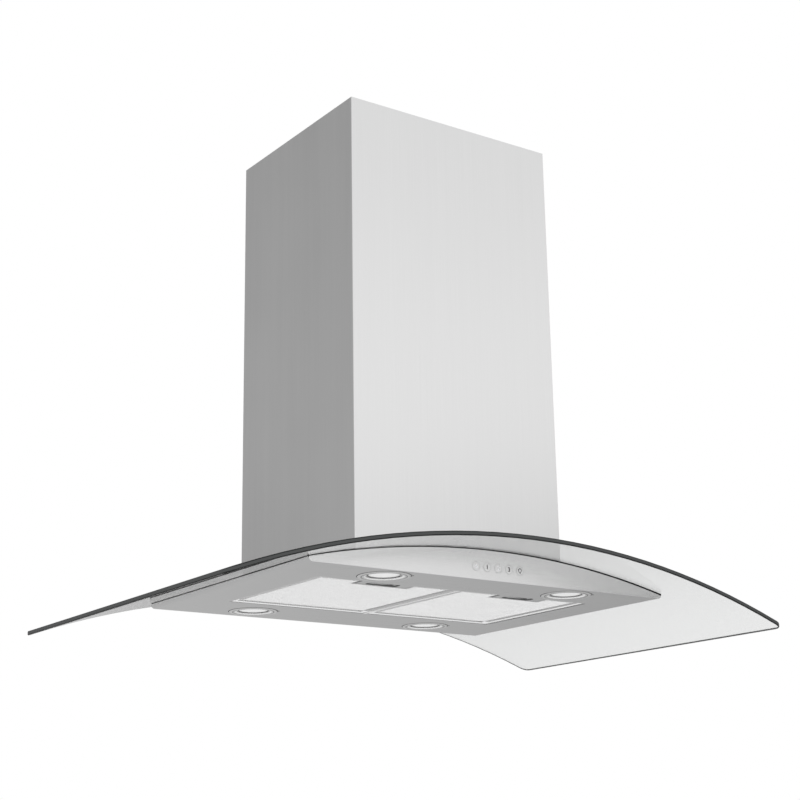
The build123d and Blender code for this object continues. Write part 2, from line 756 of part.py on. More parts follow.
def latch(side):
    """Sliding plate: a tongue towards the keeper and a tab in the finger recess."""
    middle = filter_middle(side)
    front = handle_front + fit_gap
    half = latch_wide / 2
    z = (latch_z, latch_z + latch_thick)
    plate = block((middle - half, middle + half), (front, front + latch_long), z)
    tongue = block((middle - tongue_wide / 2, middle + tongue_wide / 2), (tongue_tip, front), z)
    tab_front = pull_front + slot_inset + latch_tab_gap
    tab_y = (tab_front, tab_front + latch_tab_thick)
    tab = block((middle - half + 2, middle + half - 2), tab_y, (filter_recess + 0.8, latch_z))
    return plate + tongue + tab


def latch_spring(side):
    middle = filter_middle(side)
    y = (handle_front + fit_gap + latch_long + seat_gap, handle_back - handle_wall - seat_gap)
    z = latch_z + latch_thick / 2
    return spring_y(latch_coil_r, latch_wire_r, latch_spring_turns, middle, y, z)


# ---- lamps ----
def lamp_trim(x, y):
    """Flat ring below the panel, a tapered throat and a sleeve, with a pry notch in the rim."""
    ring = post(lamp_trim_r, 0, 0, (-lamp_trim_thick, 0))
    ring = fillet(ring.edges().sort_by(Axis.Z)[0], lamp_trim_thick * 0.7)
    ring += post(lamp_hole_r - lamp_sleeve_gap, 0, 0, (-lamp_trim_thick / 2, lamp_sleeve_top))
    taper = Pos(0, 0, (lamp_recess - lamp_trim_thick) / 2) * Cone(
        lamp_throat_r, lamp_lens_r - lamp_lens_lip, lamp_recess + lamp_trim_thick
    )
    seat = post(lamp_lens_r + lamp_lens_fit, 0, 0, (lamp_recess, lamp_can_low))
    bore = post(lamp_can_r + fit_gap, 0, 0, (lamp_can_low, lamp_sleeve_top + 1))
    a = radians(lamp_notch_angle)
    notch = post(lamp_notch_r, lamp_trim_r * cos(a), lamp_trim_r * sin(a), (-3, -lamp_trim_thick * 0.3))
    return Pos(x, y, 0) * (ring - taper - seat - bore - notch)


def lamp_lens(x, y):
    return Pos(x, y, 0) * post(lamp_lens_r, 0, 0, (lamp_recess, lamp_recess + lamp_lens_thick))


def lamp_bodies():
    """Cooling cans over the diffusers, finned on top, with the spring leaves that hold each lamp."""
    top = lamp_can_low + lamp_can_tall
    half = lamp_fin_slot / 2
    pieces = []
    for x, y in lamp_places:
        can = post(lamp_can_r, 0, 0, (lamp_can_low, top))
        for k in range(-2, 3):
            at = k * lamp_fin_pitch
            can -= block((at - half, at + half), (-lamp_trim_r, lamp_trim_r), (top - lamp_fin_deep, top + 1))
        pieces.append(Pos(x, y, 0) * can)
        pieces += lamp_clips(x, y)
    return group(pieces)


def lamp_clips(x, y):
    """Two bent spring leaves, gripping the panel from above."""
    inside = lamp_hole_r - lamp_sleeve_gap
    leaf_y = (y - lamp_clip_wide / 2, y + lamp_clip_wide / 2)
    leaves = []
    for s in (-1, 1):
        foot_x = sorted((x + s * inside, x + s * (lamp_hole_r + lamp_clip_reach)))
        leaf_x = sorted((x + s * inside, x + s * (inside + lamp_clip_thick)))
        foot = block(foot_x, leaf_y, (sheet, sheet + lamp_clip_thick))
        leaves.append(foot + block(leaf_x, leaf_y, (sheet, lamp_sleeve_top)))
    return leaves


# ---- blower ----
def motor_box():
    half_x, half_y, t = box_half_x, box_half_y, deck_sheet
    shell = block((-half_x, half_x), (-half_y, half_y), (0, box_top))
    shell -= block((t - half_x, half_x - t), (t - half_y, half_y - t), (-1, box_top - t))
    shell -= arch(deck_r + seat_gap)
    mouth_y = half_scroll - box_mouth_gap
    mouth = block((throat_left, scroll_right()), (-mouth_y, mouth_y), (box_top - 2 * t, box_top + 1))
    return shell - (mouth & post(collar_r - collar_wall, collar_x, 0, (box_top - 2 * t, box_top + 1)))


def scroll_right():
    return fan_x + scroll_r + 3 * scroll_step


def scroll_path():
    """Side view of the air path, from the tongue round the growing scroll and out at the top."""
    top = box_top - deck_sheet
    step = scroll_step
    r1, r2, r3 = scroll_r, scroll_r + step, scroll_r + 2 * step
    arcs = (
        (fan_x, fan_z, r1, tongue_angle, 180),
        (fan_x + step, fan_z, r2, 180, 270),
        (fan_x + step, fan_z + step, r3, 270, 360),
    )
    lines = [arc_between(*arc) for arc in arcs]
    tongue, right = lines[0] @ 0, lines[-1] @ 1
    corner = (right.X, top)
    lines += [Line(right, corner), Line(corner, (throat_left, top)), Line((throat_left, top), tongue)]
    return make_face(Curve() + lines)


def arc_between(x, z, r, start, end):
    """Round stretch about (x, z) between two angles in degrees."""
    points = [(x + r * cos(radians(a)), z + r * sin(radians(a))) for a in (start, (start + end) / 2, end)]
    return ThreePointArc(*points)


def scroll_housing():
    path = scroll_path()
    outer = extrude(Plane.XZ * offset(path, scroll_wall), half_scroll, both=True)
    outer &= block((-2 * box_half_x, 2 * box_half_x), (-half_scroll, half_scroll), (0, box_top - deck_sheet))
    air = extrude(Plane.XZ * path, half_scroll - scroll_wall, both=True)
    inlets = rod_y(scroll_inlet_r, fan_x, (-half_scroll - 1, half_scroll + 1), fan_z)
    return outer - air - inlets


def impeller():
    """Middle disc on its hub, and on each side a row of forward-leaning blades set into an end ring."""
    end = fan_deep / 2
    half_disc = fan_disc_thick / 2
    disc = rod_y(fan_r, 0, (-half_disc, half_disc), 0) + rod_y(hub_r, 0, (-hub_front, half_disc), 0)
    pieces = [disc - rod_y(shaft_r + screw_fit, 0, (-end, end), 0)]
    long = (fan_r - fan_inner_r) / cos(radians(blade_lean)) * 0.9
    for s in (-1, 1):
        y = sorted((s * end, s * (end - fan_ring_thick)))
        pieces.append(rod_y(fan_r, 0, y, 0) - rod_y(fan_r - fan_ring_wide, 0, (-end - 1, end + 1), 0))
        blade_y = sorted((s * half_disc, s * (end - fan_ring_thick)))
        blade = block((0, long), blade_y, (-blade_thick / 2, blade_thick / 2))
        for k in range(fan_blades):
            turn = Rot(0, 360 * k / fan_blades, 0)
            pieces.append(turn * Pos(fan_inner_r, 0, 0) * Rot(0, blade_lean, 0) * blade)
    return group([Pos(fan_x, 0, fan_z) * piece for piece in pieces])


def motor_shaft():
    return rod_y(shaft_r, fan_x, (-shaft_front, motor_front + motor_deep - shaft_r), fan_z)


def motor():
    y = (motor_front, motor_front + motor_deep)
    can = rod_y(motor_r, fan_x, y, fan_z)
    can = fillet(can.edges().filter_by(GeomType.CIRCLE), motor_edge_r)
    return can - rod_y(shaft_r + shaft_fit, fan_x, (y[0] - 1, y[1] + 1), fan_z)


def motor_bracket():
    """Ring round the motor with three arms to the scroll's side."""
    y = (half_scroll, half_scroll + bracket_thick)
    half = bracket_arm_wide / 2
    ring = rod_y(motor_r + bracket_ring_wide, fan_x, y, fan_z)
    arm = block((motor_r + bracket_ring_wide / 2, bracket_reach), y, (-half, half))
    for k in range(bracket_arms):
        ring += Pos(fan_x, 0, fan_z) * Rot(0, 30 + 360 / bracket_arms * k, 0) * arm
    return ring - rod_y(motor_r + seat_gap, fan_x, (y[0] - 1, y[1] + 1), fan_z)


def capacitor():
    can = post(capacitor_r, capacitor_at[0], capacitor_at[1], (box_top, box_top + capacitor_tall))
    return fillet(can.edges().sort_by(Axis.Z)[-1], 2)


def terminal_box():
    x, t, top = terminal_x, terminal_wall, box_top + terminal_tall
    y = (terminal_y - terminal_deep / 2, terminal_y + terminal_deep / 2)
    lid = fillet(block(x, y, (box_top, top)).edges().filter_by(Axis.Z), t)
    lid -= block((x[0] + t, x[1] - t), (y[0] + t, y[1] - t), (box_top - 1, top - t))
    return lid - post(gland_r + seat_gap, *terminal_at, (box_top, top + 1))


def cable_gland():
    x, y = terminal_at
    top = box_top + terminal_tall
    gland = post(gland_r, x, y, (top - gland_inside, top + gland_tall))
    gland += post(gland_nut_r, x, y, (top, top + gland_nut_tall))
    return gland - post(gland_bore_r, x, y, (box_top, top + 2 * gland_tall))


def outlet_collar():
    half = collar_base / 2
    base = plan((collar_x - half, collar_x + half), (-half, half), 6, (box_top, collar_floor))
    tube = post(collar_r, collar_x, 0, (box_top, collar_floor + collar_tall))
    bore = post(collar_r - collar_wall, collar_x, 0, (box_top - 1, collar_floor + collar_tall + 1))
    ledge_top = flap_z - flap_thick / 2 - fit_gap
    ledge = post(collar_r - collar_wall / 2, collar_x, 0, (ledge_top - flap_stop_thick, ledge_top))
    ledge -= post(collar_r - collar_wall - flap_stop_wide, collar_x, 0, (0, hood_drop))
    gap_x = (collar_x - flap_stop_gap, collar_x + flap_stop_gap)
    ledge -= block(gap_x, (-collar_r, collar_r), (collar_floor, ledge_top + 1))
    collar = base + tube - bore + ledge
    across = (-collar_r - 1, collar_r + 1)
    for s in (-1, 1):
        collar -= rod_y(flap_pin_r + flap_pin_fit, collar_x + s * flap_pin_x, across, flap_z)
    return collar


def damper_flap(side):
    """Half-round flap with a barrel and its pin along the straight edge."""
    r = collar_r - collar_wall - flap_gap
    flap = post(r, 0, 0, (-flap_thick / 2, flap_thick / 2))
    flap &= block(sorted((side * flap_edge, side * r)), (-r, r), (-flap_thick, flap_thick))
    length = sqrt(r * r - flap_pin_x**2) - flap_gap
    flap += rod_y(flap_barrel_r, side * flap_pin_x, (-length, length), 0)
    reach = sqrt((collar_r - fit_gap) ** 2 - flap_pin_x**2) - fit_gap
    flap += rod_y(flap_pin_r, side * flap_pin_x, (-reach, reach), 0)
    return Pos(collar_x, 0, flap_z) * flap


# ---- controls ----
def key_xs():
    middle = (len(key_names) - 1) / 2
    return [(k - middle) * key_pitch for k in range(len(key_names))]


def control_key(x):
    """Flush round key with a keeper flange behind the panel and a stem to its switch."""
    cap = rod_y(key_r, x, (body_front_y - key_proud, key_back_y + key_flange_thick / 2), key_z)
    cap = fillet(cap.edges().sort_by(Axis.Y)[0], key_proud * 0.8)
    cap += rod_y(key_flange_r, x, (key_back_y, key_back_y + key_flange_thick), key_z)
    return cap + rod_y(key_stem_r, x, (key_back_y, stem_end), key_z)


def key_carrier():
    """Moulded block that guides the keys and carries the control board."""
    half = carrier_wide / 2
    back = board_front + board_thick
    w = carrier_wall
    body = block((-half, half), (carrier_front, back), (carrier_low, carrier_high))
    hollow_z = (carrier_low + w, carrier_high - w)
    body -= block((w - half, half - w), (cross_wall_y + w, back + 1), hollow_z)
    for x in key_xs():
        body -= rod_y(key_flange_r + fit_gap, x, (carrier_front - 1, cross_wall_y), key_z)
        body -= rod_y(key_stem_r + fit_gap, x, (carrier_front - 1, back), key_z)
    ear_y = (carrier_front, carrier_front + carrier_ear_thick)
    body += block((-half - carrier_ear, w - half), ear_y, (carrier_low, carrier_high - carrier_ear))
    return body + block((half - w, half + carrier_ear), ear_y, (carrier_low, carrier_high - carrier_ear))


def key_springs():
    y = (key_back_y + key_flange_thick + seat_gap, cross_wall_y - seat_gap)
    coil_r = (key_stem_r + key_flange_r) / 2 - key_wire_r
    return group([spring_y(coil_r, key_wire_r, key_spring_turns, x, y, key_z) for x in key_xs()])


def control_board():
    """Circuit board with one switch behind each key."""
    inset = carrier_wall + board_inset
    half = carrier_wide / 2 - inset
    board_z = (carrier_low + inset, carrier_high - inset)
    board = block((-half, half), (board_front, board_front + board_thick), board_z)
    s = switch_size / 2
    body_front = switch_front + switch_tall / 4
    for x in key_xs():
        board += block((x - s, x + s), (body_front, board_front), (key_z - s, key_z + s))
        board += rod_y(s / 2, x, (switch_front, body_front + switch_tall / 4), key_z)
    return board


def power_box():
    """Supply for the lamps and the controls, on the underside panel behind the keys."""
    w = power_wall
    box = block(power_x, power_y, (sheet, power_top))
    box = fillet(box.edges().filter_by(Axis.Z), w)
    inside_x, inside_y = (power_x[0] + w, power_x[1] - w), (power_y[0] + w, power_y[1] - w)
    return box - block(inside_x, inside_y, (sheet + w, power_top - w))


# ---- writing every piece ----
os.makedirs("parts", exist_ok=True)

save("ceiling_plate", ceiling_plate(), canopy=False)
save("upper_uprights", upper_uprights(), canopy=False)
save("upper_brace", upper_brace(), canopy=False)
save("upper_flue", upper_flue(), canopy=False)
save("upper_flue_screws", upper_flue_screws(), canopy=False)

save("lower_uprights", lower_uprights())
save("clamp_bolts", clamp_bolts())
save("lower_flue", lower_flue())
save("flue_fixings", flue_fixings())
save("glass", glass())
save("glass_bushes", glass_bushes())
save("glass_screws", glass_screws())
save("glass_gasket", glass_gasket())
save("underside_panel", underside_panel())
save("front_panel", front_panel())
save("back_panel", end_panel(body_back_y, -1))
save("top_cover", top_cover())
save("side_rails", side_rails())
save("filter_surround", filter_surround())
save("filter_divider", filter_divider())

for number, (lamp_at_x, lamp_at_y) in enumerate(lamp_places, 1):
    save(f"lamp_trim_{number}", lamp_trim(lamp_at_x, lamp_at_y))
    save(f"lamp_lens_{number}", lamp_lens(lamp_at_x, lamp_at_y))
save("lamp_bodies", lamp_bodies())

save("motor_box", motor_box())
save("scroll_housing", scroll_housing())
save("impeller", impeller())
save("motor_shaft", motor_shaft())
save("motor", motor())
save("motor_bracket", motor_bracket())
save("capacitor", capacitor())
save("terminal_box", terminal_box())
save("cable_gland", cable_gland())
save("outlet_collar", outlet_collar())

for side_name, side_sign in (("left", -1), ("right", 1)):
    save(f"damper_{side_name}", damper_flap(side_sign))
    save(f"filter_frame_{side_name}", filter_frame(side_sign))
    save(f"filter_mesh_{side_name}", filter_mesh(side_sign))
    save(f"filter_handle_{side_name}", filter_handle(side_sign))
    save(f"filter_latch_{side_name}", latch(side_sign))
    save(f"latch_spring_{side_name}", latch_spring(side_sign))

for key_name, key_x in zip(key_names, key_xs()):
    save(key_name, control_key(key_x))
save("key_carrier", key_carrier())
save("key_springs", key_springs())
save("control_board", control_board())
save("power_box", power_box())
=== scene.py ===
"""Looks of the ceiling-hung range hood: materials, the filters' expanded mesh, key symbols, seams, light and camera."""

import json
import math

import bmesh
import bpy
from mathutils import Matrix, Vector


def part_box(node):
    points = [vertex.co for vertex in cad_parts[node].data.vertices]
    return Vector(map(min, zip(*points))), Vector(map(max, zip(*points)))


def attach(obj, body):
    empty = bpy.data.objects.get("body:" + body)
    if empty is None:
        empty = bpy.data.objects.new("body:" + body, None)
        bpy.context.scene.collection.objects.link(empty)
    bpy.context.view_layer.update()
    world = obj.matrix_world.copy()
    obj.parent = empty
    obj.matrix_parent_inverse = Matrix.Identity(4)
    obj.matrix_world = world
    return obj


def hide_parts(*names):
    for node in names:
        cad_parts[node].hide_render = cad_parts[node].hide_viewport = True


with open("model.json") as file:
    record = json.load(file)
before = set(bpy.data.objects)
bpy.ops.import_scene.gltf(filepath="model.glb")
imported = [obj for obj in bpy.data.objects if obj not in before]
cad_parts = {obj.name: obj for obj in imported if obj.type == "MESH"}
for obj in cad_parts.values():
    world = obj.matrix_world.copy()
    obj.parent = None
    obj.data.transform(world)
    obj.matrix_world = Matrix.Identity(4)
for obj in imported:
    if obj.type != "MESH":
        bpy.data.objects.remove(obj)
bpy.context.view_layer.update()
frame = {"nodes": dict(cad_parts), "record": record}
nodes = frame["nodes"]
MM = 0.001
SIDES = ("left", "right")
LAMPS = range(1, 5)
SPEEDS = (1, 2, 3)


def middle(name):
    """Middle of a CAD node's box."""
    low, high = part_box(name)
    return (low + high) / 2


# ---------------------------------------------------------------- shader helpers
def add(tree, kind, inputs=None, **settings):
    """One shader node. Inputs take a number, a colour or another node's output socket."""
    node = tree.nodes.new("ShaderNode" + kind)
    for key, value in settings.items():
        setattr(node, key, value)
    for key, value in (inputs or {}).items():
        if isinstance(value, bpy.types.NodeSocket):
            tree.links.new(value, node.inputs[key])
        else:
            node.inputs[key].default_value = value
    return node


def math_node(tree, operation, a, b=0.0):
    return add(tree, "Math", {0: a, 1: b}, operation=operation).outputs[0]


def weighted(tree, *parts):
    """Sum of values, each times its weight."""
    shares = [math_node(tree, "MULTIPLY", value, weight) for value, weight in parts]
    total = shares[0]
    for share in shares[1:]:
        total = math_node(tree, "ADD", total, share)
    return total


def mapped(tree, value, low, high, to_low=0.0, to_high=1.0, **settings):
    """Maps one range of a value onto another."""
    return add(tree, "MapRange", {"Value": value, 1: low, 2: high, 3: to_low, 4: to_high}, **settings).outputs[0]


def mix(tree, share, a, b):
    """Number that goes from a to b while share goes from 0 to 1."""
    return add(tree, "Mix", {"Factor": share, "A": a, "B": b}).outputs["Result"]


def ramp(tree, factor, stops):
    """Colour ramp of grey or coloured stops."""
    node = add(tree, "ValToRGB", {"Fac": factor})
    points = node.color_ramp.elements
    while len(points) < len(stops):
        points.new(0.5)
    for point, (at, colour) in zip(points, stops):
        point.position = at
        point.color = (*colour, 1.0) if isinstance(colour, tuple) else (colour, colour, colour, 1.0)
    return node.outputs["Color"]


def by_angle(tree, angle, stops):
    """Brightness of the studio by an angle in degrees, smoothly between stops."""
    low, high = stops[0][0], stops[-1][0]
    shares = tuple(((stop - low) / (high - low), value) for stop, value in stops)
    made = ramp(tree, mapped(tree, angle, low, high), shares)
    made.node.color_ramp.interpolation = "EASE"
    return made


def heading_of(tree, axes):
    """Heading in degrees: 0 straight in front of the hood, 90 to its right."""
    turned = math_node(tree, "ARCTAN2", axes.outputs["X"], math_node(tree, "MULTIPLY", axes.outputs["Y"], -1.0))
    return math_node(tree, "MULTIPLY", turned, 180 / math.pi)


def noise(tree, where, scale, detail, stretch=(1.0, 1.0, 1.0)):
    """Noise in the object's own metres, stretched along its axes."""
    place = add(tree, "Mapping", {"Vector": where, "Scale": stretch}).outputs[0]
    return add(tree, "TexNoise", {"Vector": place, "Scale": scale, "Detail": detail, "Roughness": 0.55}).outputs["Fac"]


# Most of a noise's values lie between these.
NOISE_LOW, NOISE_HIGH = 0.3, 0.7


def by_noise(tree, value, low, high):
    """Number that follows a noise from low to high."""
    return mapped(tree, value, NOISE_LOW, NOISE_HIGH, low, high)


def tinted(tree, value, low, high):
    """Grey or colour that follows a noise from low to high."""
    return ramp(tree, value, ((NOISE_LOW, low), (NOISE_HIGH, high)))


def bump(tree, height, strength, distance):
    return add(tree, "Bump", {"Height": height, "Strength": strength, "Distance": distance}).outputs["Normal"]


def principled(tree, inputs):
    return add(tree, "BsdfPrincipled", inputs).outputs[0]


def material(name):
    made = bpy.data.materials.new(name)
    made.use_nodes = True
    tree = made.node_tree
    tree.nodes.clear()
    where = add(tree, "TexCoord").outputs["Object"]
    return made, tree, where


def close(tree, shader):
    add(tree, "OutputMaterial", {"Surface": shader})


# ---------------------------------------------------------------- materials
def brushed(name, grey, along, across, rough=(0.28, 0.34), haze=0.03, metallic=1.0, spread=0.8):
    """Brushed stainless steel: fine scratches along one axis, highlights spread across them, and a slow haze."""
    made, tree, where = material(name)

    def grain(length, width):
        return tuple(length if axis == along else width for axis in "xyz")

    scratches = noise(tree, where, 1.0, 2.0, grain(6.0, 900.0))
    streaks = noise(tree, where, 1.0, 3.0, grain(1.2, 60.0))
    cloud = noise(tree, where, 5.0, 2.0)
    tone = weighted(tree, (scratches, 0.45), (streaks, 0.3), (cloud, 0.25))
    close(tree, principled(tree, {
        "Base Color": tinted(tree, tone, grey * (1 - haze), grey * (1 + haze)),
        "Metallic": metallic,
        "Roughness": by_noise(tree, tone, *rough),
        "Anisotropic": spread,
        "Tangent": add(tree, "CombineXYZ", dict(enumerate(across))).outputs[0],
        "Normal": bump(tree, scratches, 0.035, 0.0002),
    }))
    return made


def galvanised(name, grey):
    """Zinc-coated sheet with its crystal spangle."""
    made, tree, where = material(name)
    cells = add(tree, "TexVoronoi", {"Vector": where, "Scale": 130.0, "Randomness": 1.0})
    dirt = noise(tree, where, 18.0, 4.0)
    close(tree, principled(tree, {
        "Base Color": ramp(tree, cells.outputs["Color"], ((0.0, grey * 0.82), (1.0, grey * 1.12))),
        "Metallic": 0.9,
        "Roughness": by_noise(tree, dirt, 0.34, 0.5),
        "Normal": bump(tree, dirt, 0.05, 0.0004),
    }))
    return made


def moulded(name, colour, rough, grain=1400.0, depth=0.00006, metallic=0.0, coat=0.0):
    """Moulded or painted finish with a fine grain and slow variation."""
    made, tree, where = material(name)
    texture = noise(tree, where, grain, 2.0)
    slow = noise(tree, where, 25.0, 3.0)
    low, high = tuple(c * 0.86 for c in colour), tuple(min(1.0, c * 1.14) for c in colour)
    close(tree, principled(tree, {
        "Base Color": tinted(tree, slow, low, high),
        "Metallic": metallic,
        "Roughness": by_noise(tree, slow, rough - 0.06, rough + 0.06),
        "Coat Weight": coat,
        "Normal": bump(tree, texture, 0.25, depth),
    }))
    return made


def bright_metal(name, grey, rough):
    """Plated fasteners and bare cast metal."""
    made, tree, where = material(name)
    texture = noise(tree, where, 260.0, 3.0)
    close(tree, principled(tree, {
        "Base Color": tinted(tree, texture, grey * 0.9, grey * 1.06),
        "Metallic": 1.0,
        "Roughness": by_noise(tree, texture, rough - 0.05, rough + 0.07),
        "Normal": bump(tree, texture, 0.08, 0.0002),
    }))
    return made


def clear_glass():
    """Clear sheet whose ground and polished edge is drawn dark and opaque, its tone set by its facing: painted shade on
    the rounded corners, and a painted highlight as the paler line along its middle.
    """
    made, tree, where = material("clear_glass")
    normal = add(tree, "NewGeometry").outputs["True Normal"]
    upward = math_node(tree, "ABSOLUTE", add(tree, "SeparateXYZ", {0: normal}).outputs["Z"])
    edge = ramp(tree, upward, ((0.80, 1.0), (0.90, 0.0)))
    smears = noise(tree, where, 7.0, 3.0)
    pane = principled(tree, {
        "Base Color": (0.89, 0.895, 0.893, 1.0),
        "Roughness": mapped(tree, smears, 0.35, 0.7, 0.0, 0.025),
        "IOR": 1.5,
        "Transmission Weight": 1.0,
    })
    ground = noise(tree, where, 220.0, 2.0)
    # Painted shade and highlight on the edge: paler where it faces straight out, darker where it turns.
    edge_shade_stops = ((0.0, (0.075, 0.078, 0.078)), (0.1, (0.045, 0.048, 0.048)), (0.3, (0.014, 0.015, 0.015)))
    rim = principled(tree, {
        "Base Color": ramp(tree, upward, edge_shade_stops),
        "Roughness": by_noise(tree, ground, 0.3, 0.4),
        "IOR": 1.3,
    })
    close(tree, add(tree, "MixShader", {0: edge, 1: pane, 2: rim}).outputs[0])
    return made


def diffuser():
    """Frosted lamp cover, lit from behind; its colour and glow darken towards its rim, which is painted shade. One
    material serves all four lamps, so the distance from a lamp's middle is measured with the lamps folded onto each
    other."""
    made, tree, where = material("diffuser")
    axes = add(tree, "SeparateXYZ", {0: where})
    one, other = middle("lamp_lens_1"), middle("lamp_lens_4")
    middle_y, half_y = (one.y + other.y) / 2, abs(one.y - other.y) / 2
    across = math_node(tree, "SUBTRACT", math_node(tree, "ABSOLUTE", axes.outputs["X"]), abs(one.x))
    along = math_node(tree, "ABSOLUTE", math_node(tree, "SUBTRACT", axes.outputs["Y"], middle_y))
    spot = add(tree, "CombineXYZ", {0: across, 1: math_node(tree, "SUBTRACT", along, half_y), 2: 0.0})
    out = add(tree, "VectorMath", {0: spot.outputs[0]}, operation="LENGTH").outputs["Value"]
    low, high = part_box("lamp_lens_1")
    share = math_node(tree, "DIVIDE", out, (high.x - low.x) / 2)
    frost = noise(tree, where, 900.0, 2.0)
    share = math_node(tree, "ADD", share, math_node(tree, "MULTIPLY", frost, 0.04))
    # The dark stops at the rim are painted shade at the cover's edge; the glow itself is the lamp's.
    glow = ramp(tree, share, ((0.0, 0.74), (0.80, 0.72), (0.95, 0.60), (1.0, 0.45)))
    close(tree, principled(tree, {
        "Base Color": glow,
        "Roughness": 0.35,
        "Emission Color": glow,
        "Emission Strength": 0.09,
        "Normal": bump(tree, frost, 0.2, 0.0001),
    }))
    return made


def foil(name, grey):
    """Crumpled layers of aluminium behind the filter's face."""
    made, tree, where = material(name)
    cells = add(tree, "TexVoronoi", {"Vector": where, "Scale": 420.0}, distance="MINKOWSKI")
    tone = weighted(tree, (noise(tree, where, 700.0, 2.0), 0.85), (noise(tree, where, 22.0, 3.0), 0.15))
    close(tree, principled(tree, {
        "Base Color": ramp(tree, tone, ((0.32, grey * 0.86), (0.68, grey))),
        "Metallic": 0.2,
        "Roughness": 0.5,
        "Normal": bump(tree, cells.outputs["Distance"], 0.3, 0.0004),
    }))
    return made


def ink(name, colour, glow=0.0):
    """Printed or lit symbol."""
    made, tree, where = material(name)
    tint = tinted(tree, noise(tree, where, 3000.0, 2.0), tuple(c * 0.9 for c in colour), colour)
    close(tree, principled(tree, {
        "Base Color": tint,
        "Roughness": 0.45,
        "Emission Color": tint,
        "Emission Strength": glow,
    }))
    return made


# ---------------------------------------------------------------- finishes of the CAD nodes
finishes = {
    "chimney_steel": brushed("chimney_steel", 0.78, "z", (1, -0.6, 0)),
    "body_steel": brushed("body_steel", 0.66, "x", (0, 0.7, 0.7), rough=(0.26, 0.32), haze=0.035),
    "zinc_steel": galvanised("zinc_steel", 0.62),
    "fastener_steel": bright_metal("fastener_steel", 0.66, 0.22),
    "clear_glass": clear_glass(),
    "black_rubber": moulded("black_rubber", (0.007, 0.007, 0.007), 0.85),
    "cap_steel": bright_metal("cap_steel", 0.72, 0.14),
    "diffuser": diffuser(),
    "cast_aluminium": bright_metal("cast_aluminium", 0.6, 0.42),
    "filter_aluminium": brushed("filter_aluminium", 0.9, "x", (0, 1, 0), rough=(0.32, 0.44), haze=0.04, metallic=0.55),
    "black_plastic": moulded("black_plastic", (0.032, 0.032, 0.033), 0.5),
    "grey_plastic": moulded("grey_plastic", (0.33, 0.33, 0.34), 0.45),
    "motor_paint": moulded("motor_paint", (0.24, 0.25, 0.27), 0.36, metallic=0.2, coat=0.3),
    "board_green": moulded("board_green", (0.035, 0.15, 0.07), 0.3, grain=500.0, depth=0.0001),
}
for entry in frame["record"]["subparts"]:
    thing = nodes[entry["node"]]
    finish = finishes[entry["material_slot"]]
    if thing.material_slots:
        for place in thing.material_slots:
            place.material = finish
    else:
        thing.data.materials.append(finish)

# A few visible faces have their own polish. The front panel's steel is also a paler copy of the body's: painted light
# that brightens the front.
fascia_steel = brushed("fascia_steel", 0.74, "x", (0, 0.3, 0.95), rough=(0.2, 0.25), haze=0.035, spread=0.6)
trim_steel = brushed("lamp_trim_steel", 0.74, "x", (0, 1, 0), rough=(0.2, 0.28), spread=0.3)
# The divider's steel is paler and less metallic than the body's: a painted highlight.
rail_highlight_steel = brushed("rail_highlight_steel", 0.84, "y", (1, 0, 0), rough=(0.3, 0.4), metallic=0.6, spread=0.3)
own_finishes = {"front_panel": fascia_steel, "filter_divider": rail_highlight_steel}
for name in ("key_power", "key_lamp", *(f"key_speed_{number}" for number in SPEEDS)):
    own_finishes[name] = fascia_steel
for number in LAMPS:
    own_finishes[f"lamp_trim_{number}"] = trim_steel
for name, finish in own_finishes.items():
    nodes[name].material_slots[0].material = finish

# Finishes of the pieces that only the scene has. The pale steel of the lips and the lamp throats is a painted
# highlight; the two dark finishes below them are painted shade.
lip_highlight_steel = brushed("lip_highlight_steel", 0.86, "y", (0, 0, 1), rough=(0.3, 0.4), metallic=0.35, spread=0.3)
throat_highlight_steel = brushed("throat_highlight_steel", 0.88, "x", (0, 1, 0), rough=(0.24, 0.32), metallic=0.45, spread=0.3)
strand_foil = foil("filter_strands", 0.90)
layer_foil = foil("filter_layers", 0.74)
painted_shadow = moulded("slot_shadow", (0.05, 0.05, 0.05), 0.6)
recess_shade = moulded("recess_shade", (0.085, 0.085, 0.087), 0.5)
dark_ink = ink("symbol_dark", (0.035, 0.035, 0.038))
lit_ink = ink("symbol_lit", (0.96, 0.97, 0.98), 0.15)


# ---------------------------------------------------------------- helpers for new pieces
def piece(name, mesh, finish, body, replaces=()):
    """Adds a piece to the scene that rides on a body of the frame."""
    obj = bpy.data.objects.new(name, mesh)
    bpy.context.scene.collection.objects.link(obj)
    obj.data.materials.append(finish)
    if replaces:
        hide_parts(*replaces)
    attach(obj, body)
    return obj


def mesh_from(bm, name, smooth=False):
    mesh = bpy.data.meshes.new(name)
    bm.to_mesh(mesh)
    bm.free()
    for face in mesh.polygons:
        face.use_smooth = smooth
    return mesh


def join_loops(bm, loops, closed=False):
    """Faces from each loop of corners to the next, and from the last back to the first if it is closed."""
    for one, other in zip(loops, loops[1:] + (loops[:1] if closed else [])):
        for k in range(len(one)):
            m = (k + 1) % len(one)
            bm.faces.new((one[k], one[m], other[m], other[k]))


def circle(bm, x, y, z, radius, steps=72):
    """Loop of corners on a level circle."""
    turns = [2 * math.pi * k / steps for k in range(steps)]
    return [bm.verts.new((x + radius * math.cos(turn), y + radius * math.sin(turn), z)) for turn in turns]


def slabs(*boxes):
    """Mesh of boxes, each given by its ranges in X, Y and Z."""
    bm = bmesh.new()
    for box in boxes:
        for vert in bmesh.ops.create_cube(bm, size=1.0)["verts"]:
            vert.co = Vector((low + high) / 2 + at * (high - low) for at, (low, high) in zip(vert.co, box))
    return bm


